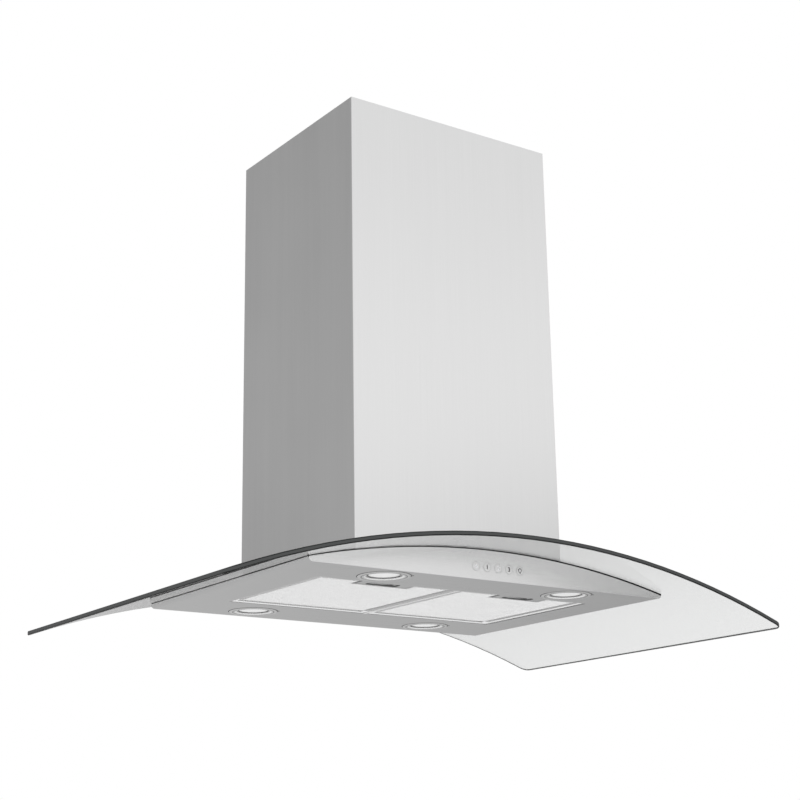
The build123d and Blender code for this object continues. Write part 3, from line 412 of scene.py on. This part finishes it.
# ---------------------------------------------------------------- filters
# Expanded metal: its cell along X and Y, the share of a cell that is open, and its strands.
FACE_CELL, FACE_OPEN = (5.2 * MM, 3.0 * MM), 0.56
BACK_CELL, BACK_OPEN = (6.4 * MM, 3.8 * MM), 0.6
STRAND_TWIST, STRAND_THICK, STRAND_LIFT = 0.3 * MM, 0.25 * MM, 0.9
# Sheets of the face: how far each stands below the frame's underside.
FACE_DROP, FOLD_DROP, PLATE_DROP, SLOT_DROP = 0.3 * MM, 0.36 * MM, 0.5 * MM, 0.55 * MM
# The rim of the frame round the mesh pack, and how far inside it the strands end.
RIM_OUT = 1.2 * MM
FACE_LEFT, FACE_FRONT, MARGIN = 4.6 * MM, 3.0 * MM, 21.0 * MM
FACE_RIGHT = {"left": 10.0 * MM, "right": 17.0 * MM}
# Folds beside the strands, measured from the rim on the left and from the strands' end on the right.
FOLD_LEFT, FOLD_RIGHT, FOLD_FRONT = (3.0 * MM, 4.3 * MM), (0.3 * MM, 7.6 * MM), 2.0 * MM
MARGIN_SIDE, LIP_LEFT, LIP_SIDE = 1.5 * MM, 7.9 * MM, 1.4 * MM
# Row of slots in the rear margin, drawn as painted shade, with a corner of painted shade at its right end.
SLOT_COUNT, SLOT_WIDE, SLOT_LONG, SLOT_DEEP = 54, 2.2 * MM, 9.0 * MM, 0.2 * MM
SLOTS_LEFT, SLOTS_RIGHT, SLOTS_BACK = 7.0 * MM, 9.0 * MM, 15.0 * MM
CORNER_GAP, CORNER_END, CORNER_BACK = 1.6 * MM, 0.6 * MM, (19.0 * MM, 11.5 * MM)
# Mesh pack: its layers lie inside the two sheets.
BACK_INSET, LAYER_INSET, LAYER_GAP = 0.5 * MM, 1.4 * MM, 0.4 * MM
# Room for the handle in the sheets.
GRIP_SIDE, GRIP_FRONT, GRIP_REAR, GRIP_DEEP = 1.5 * MM, 5.0 * MM, 1.0 * MM, 23.0 * MM
# Finger recess of the handle, lined with painted shade, and the strip of painted shade at the left of the handle's
# notch.
PULL_WIDE, PULL_DEEP, PULL_CORNER = 50.0 * MM, 16.0 * MM, 5.0 * MM
PULL_INSET, PULL_LEVELS, PULL_GAP, PULL_WALL = 5.0 * MM, (0.02 * MM, 1.5 * MM), 0.05 * MM, 0.5 * MM
SHADE_X, SHADE_Y, SHADE_Z = (0.4 * MM, 5.4 * MM), (0.6 * MM, 22.5 * MM), (-0.08 * MM, 0.1 * MM)


def shifted(at, span):
    return at + span[0], at + span[1]


def expanded_sheet(x, y, z, cell, open_share, keep_out):
    """Flattened expanded metal: a lattice of diamond openings whose strands are turned a little."""
    bm = bmesh.new()
    half_x, half_y = cell[0] / 2, cell[1] / 2
    columns, rows = int((x[1] - x[0]) / cell[0]), int((y[1] - y[0]) / cell[1])
    start_x, start_y = (x[0] + x[1]) / 2 - columns * half_x, (y[0] + y[1]) / 2 - rows * half_y
    corners = {}

    def corner(i, j):
        """Lattice corner in half cells. Strands cross there, a little higher at every other column."""
        if (i, j) not in corners:
            rise = STRAND_TWIST * (0.5 if i % 2 else -0.5)
            corners[i, j] = bm.verts.new((start_x + i * half_x, start_y + j * half_y, z + rise))
        return corners[i, j]

    for i in range(1, 2 * columns):
        for j in range(1 + (i + 1) % 2, 2 * rows, 2):
            at_x, at_y = start_x + i * half_x, start_y + j * half_y
            if keep_out[0][0] < at_x < keep_out[0][1] and keep_out[1][0] < at_y < keep_out[1][1]:
                continue
            outer = [corner(i + 1, j), corner(i, j + 1), corner(i - 1, j), corner(i, j - 1)]
            inner = [
                bm.verts.new((at_x + dx * half_x * open_share, at_y + dy * half_y * open_share,
                              z + dy * STRAND_LIFT * STRAND_TWIST))
                for dx, dy in ((1, 0), (0, 1), (-1, 0), (0, -1))
            ]
            join_loops(bm, [outer, inner])
    return bm


def slot_mark(bm, x, y, z, steps=5):
    """Small round-ended dark plug let into a plate, seen from below: painted shade for a slot."""
    below, above = [], []
    for k in range(2 * steps):
        turn = math.pi * (k + 0.5) / steps
        end = (SLOT_LONG - SLOT_WIDE) / 2 * (1 if math.sin(turn) > 0 else -1)
        at = (x + SLOT_WIDE / 2 * math.cos(turn), y + end + SLOT_WIDE / 2 * math.sin(turn))
        below.append(bm.verts.new((*at, z)))
        above.append(bm.verts.new((*at, z + SLOT_DEEP)))
    join_loops(bm, [above, below])
    bm.faces.new(list(reversed(below)))
    bm.faces.new(above)


def pull_liner(bm, x, y, levels, steps=8):
    """Open sleeve of painted shade that lines the rounded rectangular finger recess."""
    def outline(inset):
        half_w, half_d, r = PULL_WIDE / 2 - inset, PULL_DEEP / 2 - inset, PULL_CORNER - inset
        for sx, sy, start in ((1, 1, 0), (-1, 1, 90), (-1, -1, 180), (1, -1, 270)):
            for k in range(steps + 1):
                turn = math.radians(start + 90 * k / steps)
                yield x + sx * (half_w - r) + r * math.cos(turn), y + sy * (half_d - r) + r * math.sin(turn)

    section = ((PULL_GAP, levels[0]), (PULL_WALL, levels[0]), (PULL_WALL, levels[1]), (PULL_GAP, levels[1]))
    loops = [[bm.verts.new((*at, z)) for at in outline(inset)] for inset, z in section]
    join_loops(bm, loops, closed=True)


for side in SIDES:
    body = f"filter_{side}"
    pack_low, pack_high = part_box(f"filter_mesh_{side}")
    handle_low, handle_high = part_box(f"filter_handle_{side}")
    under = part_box(f"filter_frame_{side}")[0].z
    rim_left, rim_right = pack_low.x - RIM_OUT, pack_high.x + RIM_OUT
    rim_front, rim_back = pack_low.y - RIM_OUT, pack_high.y + RIM_OUT
    strands_right, margin_y = rim_right - FACE_RIGHT[side], rim_back - MARGIN
    grip_x = (handle_low.x - GRIP_SIDE, handle_high.x + GRIP_SIDE)
    grip_front = handle_low.y - GRIP_FRONT

    # The sheet of strands in front, the one behind, and the crumpled layers between them.
    face_x, face_y = (rim_left + FACE_LEFT, strands_right), (rim_front + FACE_FRONT, margin_y)
    grip_room = (grip_x, (grip_front, handle_low.y + GRIP_DEEP))
    bm = expanded_sheet(face_x, face_y, under - FACE_DROP, FACE_CELL, FACE_OPEN, grip_room)
    face = piece(f"filter_face_{side}", mesh_from(bm, "face"), strand_foil, body)
    face.modifiers.new("thickness", "SOLIDIFY").thickness = STRAND_THICK
    pack_x, pack_y = (pack_low.x, pack_high.x), (pack_low.y, pack_high.y)
    grip_room = (grip_x, (grip_front, handle_high.y + GRIP_REAR))
    bm = expanded_sheet(pack_x, pack_y, pack_high.z - BACK_INSET, BACK_CELL, BACK_OPEN, grip_room)
    piece(f"filter_back_{side}", mesh_from(bm, "back"), strand_foil, body)
    layer_z = (pack_low.z + LAYER_INSET, pack_high.z - LAYER_INSET)
    behind_handle = handle_high.y + LAYER_GAP
    bm = slabs(
        (pack_x, (behind_handle, pack_high.y), layer_z),
        ((pack_low.x, handle_low.x - LAYER_GAP), (pack_low.y, behind_handle), layer_z),
        ((handle_high.x + LAYER_GAP, pack_high.x), (pack_low.y, behind_handle), layer_z),
    )
    piece(f"filter_layers_{side}", mesh_from(bm, "layers"), layer_foil, body,
          replaces=(f"filter_mesh_{side}",))

    # Plain sheet round the strands: the rear margin, the folds at both sides, and the right filter's lip.
    plate_z = (under - PLATE_DROP, under)
    bm = slabs(((rim_left + MARGIN_SIDE, rim_right - MARGIN_SIDE), (margin_y, pack_high.y), plate_z))
    piece(f"filter_margin_{side}", mesh_from(bm, "margin"), strand_foil, body)
    fold_y, fold_z = (rim_front + FOLD_FRONT, margin_y), (under - FOLD_DROP, under)
    bm = slabs((shifted(rim_left, FOLD_LEFT), fold_y, fold_z), (shifted(strands_right, FOLD_RIGHT), fold_y, fold_z))
    piece(f"filter_fold_{side}", mesh_from(bm, "fold"), finishes["body_steel"], body)
    if side == "right":
        bm = slabs(((strands_right + LIP_LEFT, rim_right - LIP_SIDE), fold_y, plate_z))
        piece("filter_lip_right", mesh_from(bm, "lip"), strand_foil, body)

    # Painted shade in the handle's finger recess and at its left end.
    bm = slabs((shifted(handle_low.x, SHADE_X), shifted(handle_low.y, SHADE_Y), shifted(handle_low.z, SHADE_Z)))
    pull_y = handle_low.y + PULL_INSET + PULL_DEEP / 2
    pull_liner(bm, (handle_low.x + handle_high.x) / 2, pull_y, shifted(handle_low.z, PULL_LEVELS))
    piece(f"handle_shade_{side}", mesh_from(bm, "shade"), recess_shade, body)

    # The row of slots in the rear margin and the dark corner at its right end, both painted shade.
    first, last = rim_left + SLOTS_LEFT, strands_right - SLOTS_RIGHT
    corner_x, corner_y = (last + CORNER_GAP, strands_right - CORNER_END), [rim_back - out for out in CORNER_BACK]
    bm = slabs((corner_x, corner_y, (under - SLOT_DROP, under - SLOT_DROP + SLOT_DEEP)))
    for k in range(SLOT_COUNT):
        at = first + (last - first) * k / (SLOT_COUNT - 1)
        slot_mark(bm, at, rim_back - SLOTS_BACK, under - SLOT_DROP)
    piece(f"filter_slots_{side}", mesh_from(bm, "slots"), painted_shadow, body)


# ---------------------------------------------------------------- seams and edges of the body
# Fold shadow along the right of the filter opening.
LINE_X, LINE_ENDS, LINE_Z = (-7.0 * MM, -5.6 * MM), 7.0 * MM, (-0.03 * MM, 0.2 * MM)
# Rolled lips at the body's sides, in pale, less metallic steel: a painted highlight.
SIDE_PROUD, SIDE_SUNK, SIDE_FRONT, SIDE_BACK = 0.12 * MM, 0.08 * MM, 2.0 * MM, 1.0 * MM
SIDE_Z = (-1.6 * MM, 0.75 * MM)
# Black bead of the glass seal in front: its top follows the glass a little below the seal's own top. It is as tall as
# BEAD_TALL in the middle, gains its taper to its right end and loses as much to its left one; the thickening to the
# right is painted shadow under the glass edge.
BEAD_RADIUS, BEAD_BELOW = 1271.0 * MM, 0.15 * MM
BEAD_TALL, BEAD_SHADOW_TAPER, BEAD_Y = 1.65 * MM, 0.85 * MM, (-0.15 * MM, 0.3 * MM)
# Steel rim of the front panel that shows under the bead's thin half.
RIM_UNDER, RIM_Y = 0.1 * MM, (-0.13 * MM, 0.28 * MM)

panel_low, panel_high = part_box("underside_panel")
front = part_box("front_panel")[0].y
divider_low, divider_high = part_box("filter_divider")
seal_low, seal_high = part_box("glass_gasket")
half_seal = (seal_high.x - seal_low.x) / 2

line_y = (divider_low.y + LINE_ENDS, divider_high.y - LINE_ENDS)
bm = slabs((shifted(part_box("filter_surround")[1].x, LINE_X), line_y, shifted(panel_low.z, LINE_Z)))
piece("opening_line", mesh_from(bm, "line"), painted_shadow, "hood")


def arched_strip(first, last, section, y, steps=48):
    """Thin upright strip along the seal, where section gives its bottom and top at a share of the half width."""
    bm = bmesh.new()
    stations = []
    for k in range(first * steps, last * steps + 1):
        bottom, top = section(k / steps)
        corners = ((y[0], top), (y[1], top), (y[1], bottom), (y[0], bottom))
        stations.append([bm.verts.new((half_seal * k / steps, *corner)) for corner in corners])
    join_loops(bm, stations)
    bm.faces.new(list(reversed(stations[0])))
    bm.faces.new(stations[-1])
    return bm


def bead_section(share):
    sag = BEAD_RADIUS - math.sqrt(BEAD_RADIUS ** 2 - (half_seal * share) ** 2)
    top = seal_high.z - sag - BEAD_BELOW
    # The taper's growth to the right is painted shadow.
    return top - BEAD_TALL - BEAD_SHADOW_TAPER * share, top


def rim_section(share):
    bottom, top = bead_section(share)
    return top - BEAD_TALL - RIM_UNDER, bottom


bm = arched_strip(-1, 1, bead_section, shifted(front, BEAD_Y))
piece("front_seal_and_shadow", mesh_from(bm, "seal"), finishes["black_rubber"], "hood")
bm = arched_strip(-1, 0, rim_section, shifted(front, RIM_Y))
piece("front_rim", mesh_from(bm, "rim"), fascia_steel, "hood")
# Rolled side lips in pale steel: a painted highlight.
for side, edge, out in (("left", panel_low.x, -1), ("right", panel_high.x, 1)):
    across = sorted((edge + out * SIDE_PROUD, edge - out * SIDE_SUNK))
    bm = slabs((across, (front + SIDE_FRONT, panel_high.y - SIDE_BACK), shifted(panel_high.z, SIDE_Z)))
    piece(f"side_highlight_lip_{side}", mesh_from(bm, "lip"), lip_highlight_steel, "hood")


# ---------------------------------------------------------------- lamps
# Frosted cover: its radius, how far its dome hangs, and how far round the dome bends.
COVER_RADIUS, COVER_DROP, COVER_BEND = 20.9 * MM, 0.9 * MM, 0.94
# Black ring of painted shadow round the cover's edge, and the throat from there to the trim's face, whose pale steel is
# a painted highlight: radii at both ends, and levels.
EDGE_SHADOW_RADII, EDGE_SHADOW_DROP = (21.0 * MM, 21.5 * MM), 1.15 * MM
THROAT_RADII, THROAT_DROP, THROAT_RISE, HOOP_WALL = (22.2 * MM, 26.2 * MM), 1.0 * MM, 0.25 * MM, 0.3 * MM
# Dark lines of painted shadow, just proud of the faces that they lie on: round the trim, on it, and round its pry
# notch.
PLATE_UP = 1.0 * MM
AROUND_RADII, AROUND_PROUD = (-0.05 * MM, 1.2 * MM), 0.03 * MM
ON_RADII, ON_PROUD = (-5.7 * MM, -4.7 * MM), 0.02 * MM
NOTCH_TURN, NOTCH_OUT = math.radians(-35), 1.0 * MM
NOTCH_RADII, NOTCH_PROUD, NOTCH_STEPS = (1.6 * MM, 2.7 * MM), 0.04 * MM, 32


def groove(bm, x, y, z, radii, steps=72):
    """Flat dark ring of painted shadow that lies on a face seen from below."""
    join_loops(bm, [circle(bm, x, y, z, radius, steps) for radius in radii])


def domed_disc(x, y, z, rings=8):
    """Frosted cover seen from below: a shallow dome with a closed flat back at z."""
    bm = bmesh.new()
    loops = []
    for ring in range(1, rings + 1):
        share = ring / rings
        level = z - COVER_DROP * math.sqrt(1 - (COVER_BEND * share) ** 2)
        loops.append(circle(bm, x, y, level, COVER_RADIUS * share))
    loops.append(circle(bm, x, y, z, COVER_RADIUS))
    tip = bm.verts.new((x, y, z - COVER_DROP))
    inmost = loops[0]
    for k in range(len(inmost)):
        bm.faces.new((tip, inmost[(k + 1) % len(inmost)], inmost[k]))
    join_loops(bm, loops)
    bm.faces.new(loops[-1])
    return bm


def hoop(x, y, levels, radii):
    """Thin closed ring whose wall runs from one height and radius to another."""
    bm = bmesh.new()
    inside = list(zip(radii, levels))
    section = inside + [(radius + HOOP_WALL, level) for radius, level in reversed(inside)]
    join_loops(bm, [circle(bm, x, y, level, radius) for radius, level in section], closed=True)
    return bm


for number in LAMPS:
    low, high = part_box(f"lamp_trim_{number}")
    lens_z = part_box(f"lamp_lens_{number}")[0].z
    x, y = (low.x + high.x) / 2, (low.y + high.y) / 2
    cover = mesh_from(domed_disc(x, y, lens_z), "cover", smooth=True)
    piece(f"lamp_cover_{number}", cover, finishes["diffuser"], "hood", replaces=(f"lamp_lens_{number}",))
    # Ring of painted shadow at the cover's edge, then the throat, whose pale steel is a painted highlight.
    bm = hoop(x, y, (lens_z, lens_z - EDGE_SHADOW_DROP), EDGE_SHADOW_RADII)
    piece(f"lamp_edge_shadow_{number}", mesh_from(bm, "seal"), painted_shadow, "hood")
    bm = hoop(x, y, (lens_z - THROAT_DROP, low.z + THROAT_RISE), THROAT_RADII)
    piece(f"lamp_throat_{number}", mesh_from(bm, "throat", smooth=True), throat_highlight_steel, "hood")
    rim, plate = (high.x - low.x) / 2, low.z + PLATE_UP
    # Rings of painted shadow: round the trim, on it, and round its notch.
    bm = bmesh.new()
    groove(bm, x, y, plate - AROUND_PROUD, shifted(rim, AROUND_RADII))
    groove(bm, x, y, low.z - ON_PROUD, shifted(rim, ON_RADII))
    notch_x = x + (rim + NOTCH_OUT) * math.cos(NOTCH_TURN)
    notch_y = y + (rim + NOTCH_OUT) * math.sin(NOTCH_TURN)
    groove(bm, notch_x, notch_y, plate - NOTCH_PROUD, NOTCH_RADII, NOTCH_STEPS)
    piece(f"lamp_shadow_rings_{number}", mesh_from(bm, "shadow_rings"), painted_shadow, "hood")


# ---------------------------------------------------------------- key symbols
PRINT_THICK = 0.03 * MM
DIGIT_SIZE, DIGIT_THICK, DIGIT_BOLD, DIGIT_PROUD = 8.2 * MM, 0.02 * MM, 0.2 * MM, 0.005 * MM
LIT_SPEED = 2
DOT_RADIUS = 1.9 * MM
# Lamp symbol: an open ring for the bulb, and three bars under it, by half their length.
BULB_UP, BULB_RADIUS, BULB_WIDE, BULB_FROM, BULB_TO = 0.6 * MM, 2.9 * MM, 1.05 * MM, -50, 230
BARS, BAR_DOWN, BAR_PITCH, BAR_TALL = (1.7 * MM, 1.7 * MM, 1.0 * MM), 2.1 * MM, 0.85 * MM, 0.5 * MM


def key_face(name):
    """Middle of a key's front face."""
    return middle(name).x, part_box(name)[0].y, middle(name).z


def digit(number, x, z, y, finish):
    """A flat printed digit on a speed key's face, standing upright towards the front."""
    name = f"symbol_{number}"
    curve = bpy.data.curves.new(name, "FONT")
    curve.body = str(number)
    curve.size, curve.extrude, curve.offset = DIGIT_SIZE, DIGIT_THICK, DIGIT_BOLD
    curve.align_x, curve.align_y = "CENTER", "CENTER"
    curve.materials.append(finish)
    obj = bpy.data.objects.new(name, curve)
    bpy.context.scene.collection.objects.link(obj)
    obj.matrix_world = Matrix.Translation((x, y, z)) @ Matrix.Rotation(math.pi / 2, 4, "X")
    bpy.context.view_layer.update()
    mesh = bpy.data.meshes.new_from_object(obj.evaluated_get(bpy.context.evaluated_depsgraph_get()))
    mesh.transform(obj.matrix_world)
    bpy.data.objects.remove(obj)
    mesh.materials.clear()
    piece(name, mesh, finish, f"key_speed_{number}")


def flat_outline(bm, points, y):
    """Thin plate with an outline in X and Z, facing the front."""
    front = [bm.verts.new((px, y - PRINT_THICK, pz)) for px, pz in points]
    back = [bm.verts.new((px, y, pz)) for px, pz in points]
    bm.faces.new(front)
    join_loops(bm, [back, front])


def arc_points(x, z, r, start, end, count, steps=24):
    """Points on an arc in X and Z, from start towards end in degrees."""
    turns = [math.radians(start + (end - start) * k / steps) for k in range(count)]
    return [(x + r * math.cos(turn), z + r * math.sin(turn)) for turn in turns]


x, y, z = key_face("key_power")
bm = bmesh.new()
flat_outline(bm, arc_points(x, z, DOT_RADIUS, 0.0, 360.0, 24), y)
piece("symbol_power", mesh_from(bm, "dot"), lit_ink, "key_power")
for number in SPEEDS:
    x, y, z = key_face(f"key_speed_{number}")
    digit(number, x, z, y - DIGIT_PROUD, lit_ink if number == LIT_SPEED else dark_ink)
x, y, z = key_face("key_lamp")
bm = bmesh.new()
outer, inner = (arc_points(x, z + BULB_UP, r, BULB_FROM, BULB_TO, 25) for r in (BULB_RADIUS, BULB_RADIUS - BULB_WIDE))
for k in range(len(outer) - 1):
    flat_outline(bm, [outer[k], outer[k + 1], inner[k + 1], inner[k]], y)
for k, half in enumerate(BARS):
    level = z - BAR_DOWN - BAR_PITCH * k
    top = level + BAR_TALL
    flat_outline(bm, [(x - half, level), (x + half, level), (x + half, top), (x - half, top)], y)
piece("symbol_lamp", mesh_from(bm, "lamp"), dark_ink, "key_lamp")


# ---------------------------------------------------------------- studio
# Metal meets a shaded studio: its brightness by heading (0 straight in front of the hood, 90 to its right), with one
# set near the horizon and one above it, and by height above the horizon. All in degrees.
LOW_AROUND = (
    (-180, 0.90), (-168, 0.70), (-157, 0.24), (-142, 0.30), (-120, 0.60), (-95, 0.72), (-30, 0.86),
    (20, 1.0), (38, 1.0), (41, 0.85), (44, 0.25), (48, 0.0), (58, 0.10), (68, 0.80), (95, 0.72),
    (118, 0.40), (134, 0.20), (148, 0.40), (158, 0.60), (168, 0.80), (180, 0.90),
)
HIGH_AROUND = (
    (-180, 0.92), (-168, 0.72), (-157, 0.24), (-142, 0.34), (-120, 0.62), (-95, 0.74), (-30, 0.92),
    (0, 1.03), (36, 1.04), (48, 0.96), (66, 0.90), (95, 0.74), (125, 0.55), (140, 0.48), (168, 0.80), (180, 0.92),
)
UPWARD = ((-90, 1.0), (-30, 1.0), (-14, 1.0), (6, 1.0), (13, 1.06), (28, 0.90), (90, 0.8))
LOW_TO_HIGH = (10.0, 13.0)
# Metal and the glass's surfaces meet the floor with the same kind of shading: darkest to the hood's right rear.
FLOOR_AROUND = (
    (-180, 0.66), (-160, 0.64), (-60, 0.64), (60, 0.62), (100, 0.50),
    (118, 0.36), (132, 0.44), (145, 0.58), (156, 0.67), (180, 0.66),
)
# Under the hood the floor is even, and its shading sets in between these distances, in metres.
FLOOR_LEVEL, FLOOR_FADE = 0.64, (3.0, 8.0)
# The world's level for matt surfaces, and what lifts the floor to white where the eye meets it.
MATT_LEVEL, FLOOR_LIFT = 0.62, 0.42
FLOOR_Z, FLOOR_HALF = -3.2, 55.0
WHITE = (1.0, 1.0, 1.0, 1.0)


def seen_plainly(tree, path, most):
    """1 for the camera and for rays that came straight through the glass, with fewer than most other bounces."""
    bounces = math_node(tree, "SUBTRACT", path.outputs["Ray Depth"], path.outputs["Transmission Depth"])
    straight = math_node(tree, "LESS_THAN", bounces, most)
    through = math_node(tree, "MULTIPLY", path.outputs["Is Transmission Ray"], straight)
    return math_node(tree, "MAXIMUM", path.outputs["Is Camera Ray"], through)


def floor_material():
    """Pale floor that keeps the shadow. The eye meets it as white, metal with the studio's shading."""
    made, tree, where = material("floor_pale")
    speck = noise(tree, where, 3.0, 2.0)
    matt = add(tree, "BsdfDiffuse", {"Color": tinted(tree, speck, 0.88, 0.90)})
    path = add(tree, "LightPath")
    seen = seen_plainly(tree, path, 0.5)
    paper = add(tree, "Emission", {"Color": WHITE, "Strength": math_node(tree, "MULTIPLY", seen, FLOOR_LIFT)})
    lit = add(tree, "AddShader", {0: matt.outputs[0], 1: paper.outputs[0]})
    away = add(tree, "VectorMath", {0: where}, operation="LENGTH").outputs["Value"]
    far = mapped(tree, away, *FLOOR_FADE, interpolation_type="SMOOTHSTEP")
    around = by_angle(tree, heading_of(tree, add(tree, "SeparateXYZ", {0: where})), FLOOR_AROUND)
    shaded = add(tree, "Emission", {"Color": WHITE, "Strength": mix(tree, far, FLOOR_LEVEL, around)})
    unseen = math_node(tree, "SUBTRACT", 1.0, seen)
    mirrored = math_node(tree, "MULTIPLY", path.outputs["Is Glossy Ray"], unseen)
    close(tree, add(tree, "MixShader", {0: mirrored, 1: lit.outputs[0], 2: shaded.outputs[0]}).outputs[0])
    return made


def shade_world(tree):
    """White for the eye and through clear glass, shaded for metal, and a plain level for matt surfaces."""
    axes = add(tree, "SeparateXYZ", {0: add(tree, "TexCoord").outputs["Generated"]})
    heading = heading_of(tree, axes)
    height = math_node(tree, "MULTIPLY", math_node(tree, "ARCSINE", axes.outputs["Z"]), 180 / math.pi)
    rising = mapped(tree, height, *LOW_TO_HIGH, interpolation_type="SMOOTHSTEP")
    ringed = mix(tree, rising, by_angle(tree, heading, LOW_AROUND), by_angle(tree, heading, HIGH_AROUND))
    shaded = math_node(tree, "MULTIPLY", ringed, by_angle(tree, height, UPWARD))
    path = add(tree, "LightPath")
    level = mix(tree, path.outputs["Is Glossy Ray"], MATT_LEVEL, shaded)
    level = mix(tree, seen_plainly(tree, path, 1.5), level, 1.0)
    background = add(tree, "Background", {"Color": WHITE, "Strength": level})
    add(tree, "OutputWorld", {"Surface": background.outputs[0]})


def area_lamp(name, at, aim, size, power):
    """Soft lamp that metal and glass don't mirror."""
    data = bpy.data.lights.new(name, "AREA")
    data.shape = "RECTANGLE"
    data.size, data.size_y = size
    data.energy = power
    lamp = bpy.data.objects.new(name, data)
    bpy.context.scene.collection.objects.link(lamp)
    at, aim = Vector(at), Vector(aim)
    lamp.matrix_world = Matrix.Translation(at) @ (aim - at).to_track_quat("-Z", "Y").to_matrix().to_4x4()
    lamp.visible_glossy = False
    lamp.visible_transmission = False
    return lamp


floor_mesh = bmesh.new()
bmesh.ops.create_grid(floor_mesh, x_segments=1, y_segments=1, size=FLOOR_HALF)
floor = bpy.data.objects.new("floor", mesh_from(floor_mesh, "floor"))
bpy.context.scene.collection.objects.link(floor)
floor.location = (0, 0, FLOOR_Z)
floor.data.materials.append(floor_material())

world = bpy.data.worlds.new("studio")
bpy.context.scene.world = world
world.use_nodes = True
world.node_tree.nodes.clear()
shade_world(world.node_tree)

area_lamp("key_light", (-2.4, -2.6, 1.0), (0, 0, -0.4), (2.0, 2.0), 40)
area_lamp("back_light", (0.6, 3.0, 1.2), (0, 0, -0.3), (2.4, 1.6), 25)
bounce = area_lamp("floor_bounce", (0, 0, -3.1), (0.01, 0, 0), (5.0, 5.0), 60)
bounce.visible_camera = False


# ---------------------------------------------------------------- camera
# Fitted to the photograph: place in millimetres, heading, pitch and roll in radians, and focal length in pixels.
CAM_AT = (-1313.80, -1876.86, -1051.24)
CAM_HEADING, CAM_PITCH, CAM_ROLL = 0.6128, 0.2828, -0.0164
CAM_FOCAL, PICTURE, SENSOR = 1613.42, 800, 36.0

sin_h, cos_h = math.sin(CAM_HEADING), math.cos(CAM_HEADING)
level_forward, level_right, straight_up = Vector((sin_h, cos_h, 0)), Vector((cos_h, -sin_h, 0)), Vector((0, 0, 1))
forward = level_forward * math.cos(CAM_PITCH) + straight_up * math.sin(CAM_PITCH)
upward = straight_up * math.cos(CAM_PITCH) - level_forward * math.sin(CAM_PITCH)
right = level_right * math.cos(CAM_ROLL) + upward * math.sin(CAM_ROLL)
up = upward * math.cos(CAM_ROLL) - level_right * math.sin(CAM_ROLL)
lens = bpy.data.cameras.new("camera")
lens.sensor_width = SENSOR
lens.lens = CAM_FOCAL * SENSOR / PICTURE
lens.clip_start, lens.clip_end = 0.05, 60.0
camera = bpy.data.objects.new("camera", lens)
bpy.context.scene.collection.objects.link(camera)
turn = Matrix((right, up, -forward)).transposed().to_4x4()
camera.matrix_world = Matrix.Translation(Vector(CAM_AT) * MM) @ turn
bpy.context.scene.camera = camera

bpy.context.scene.view_settings.view_transform = "Standard"
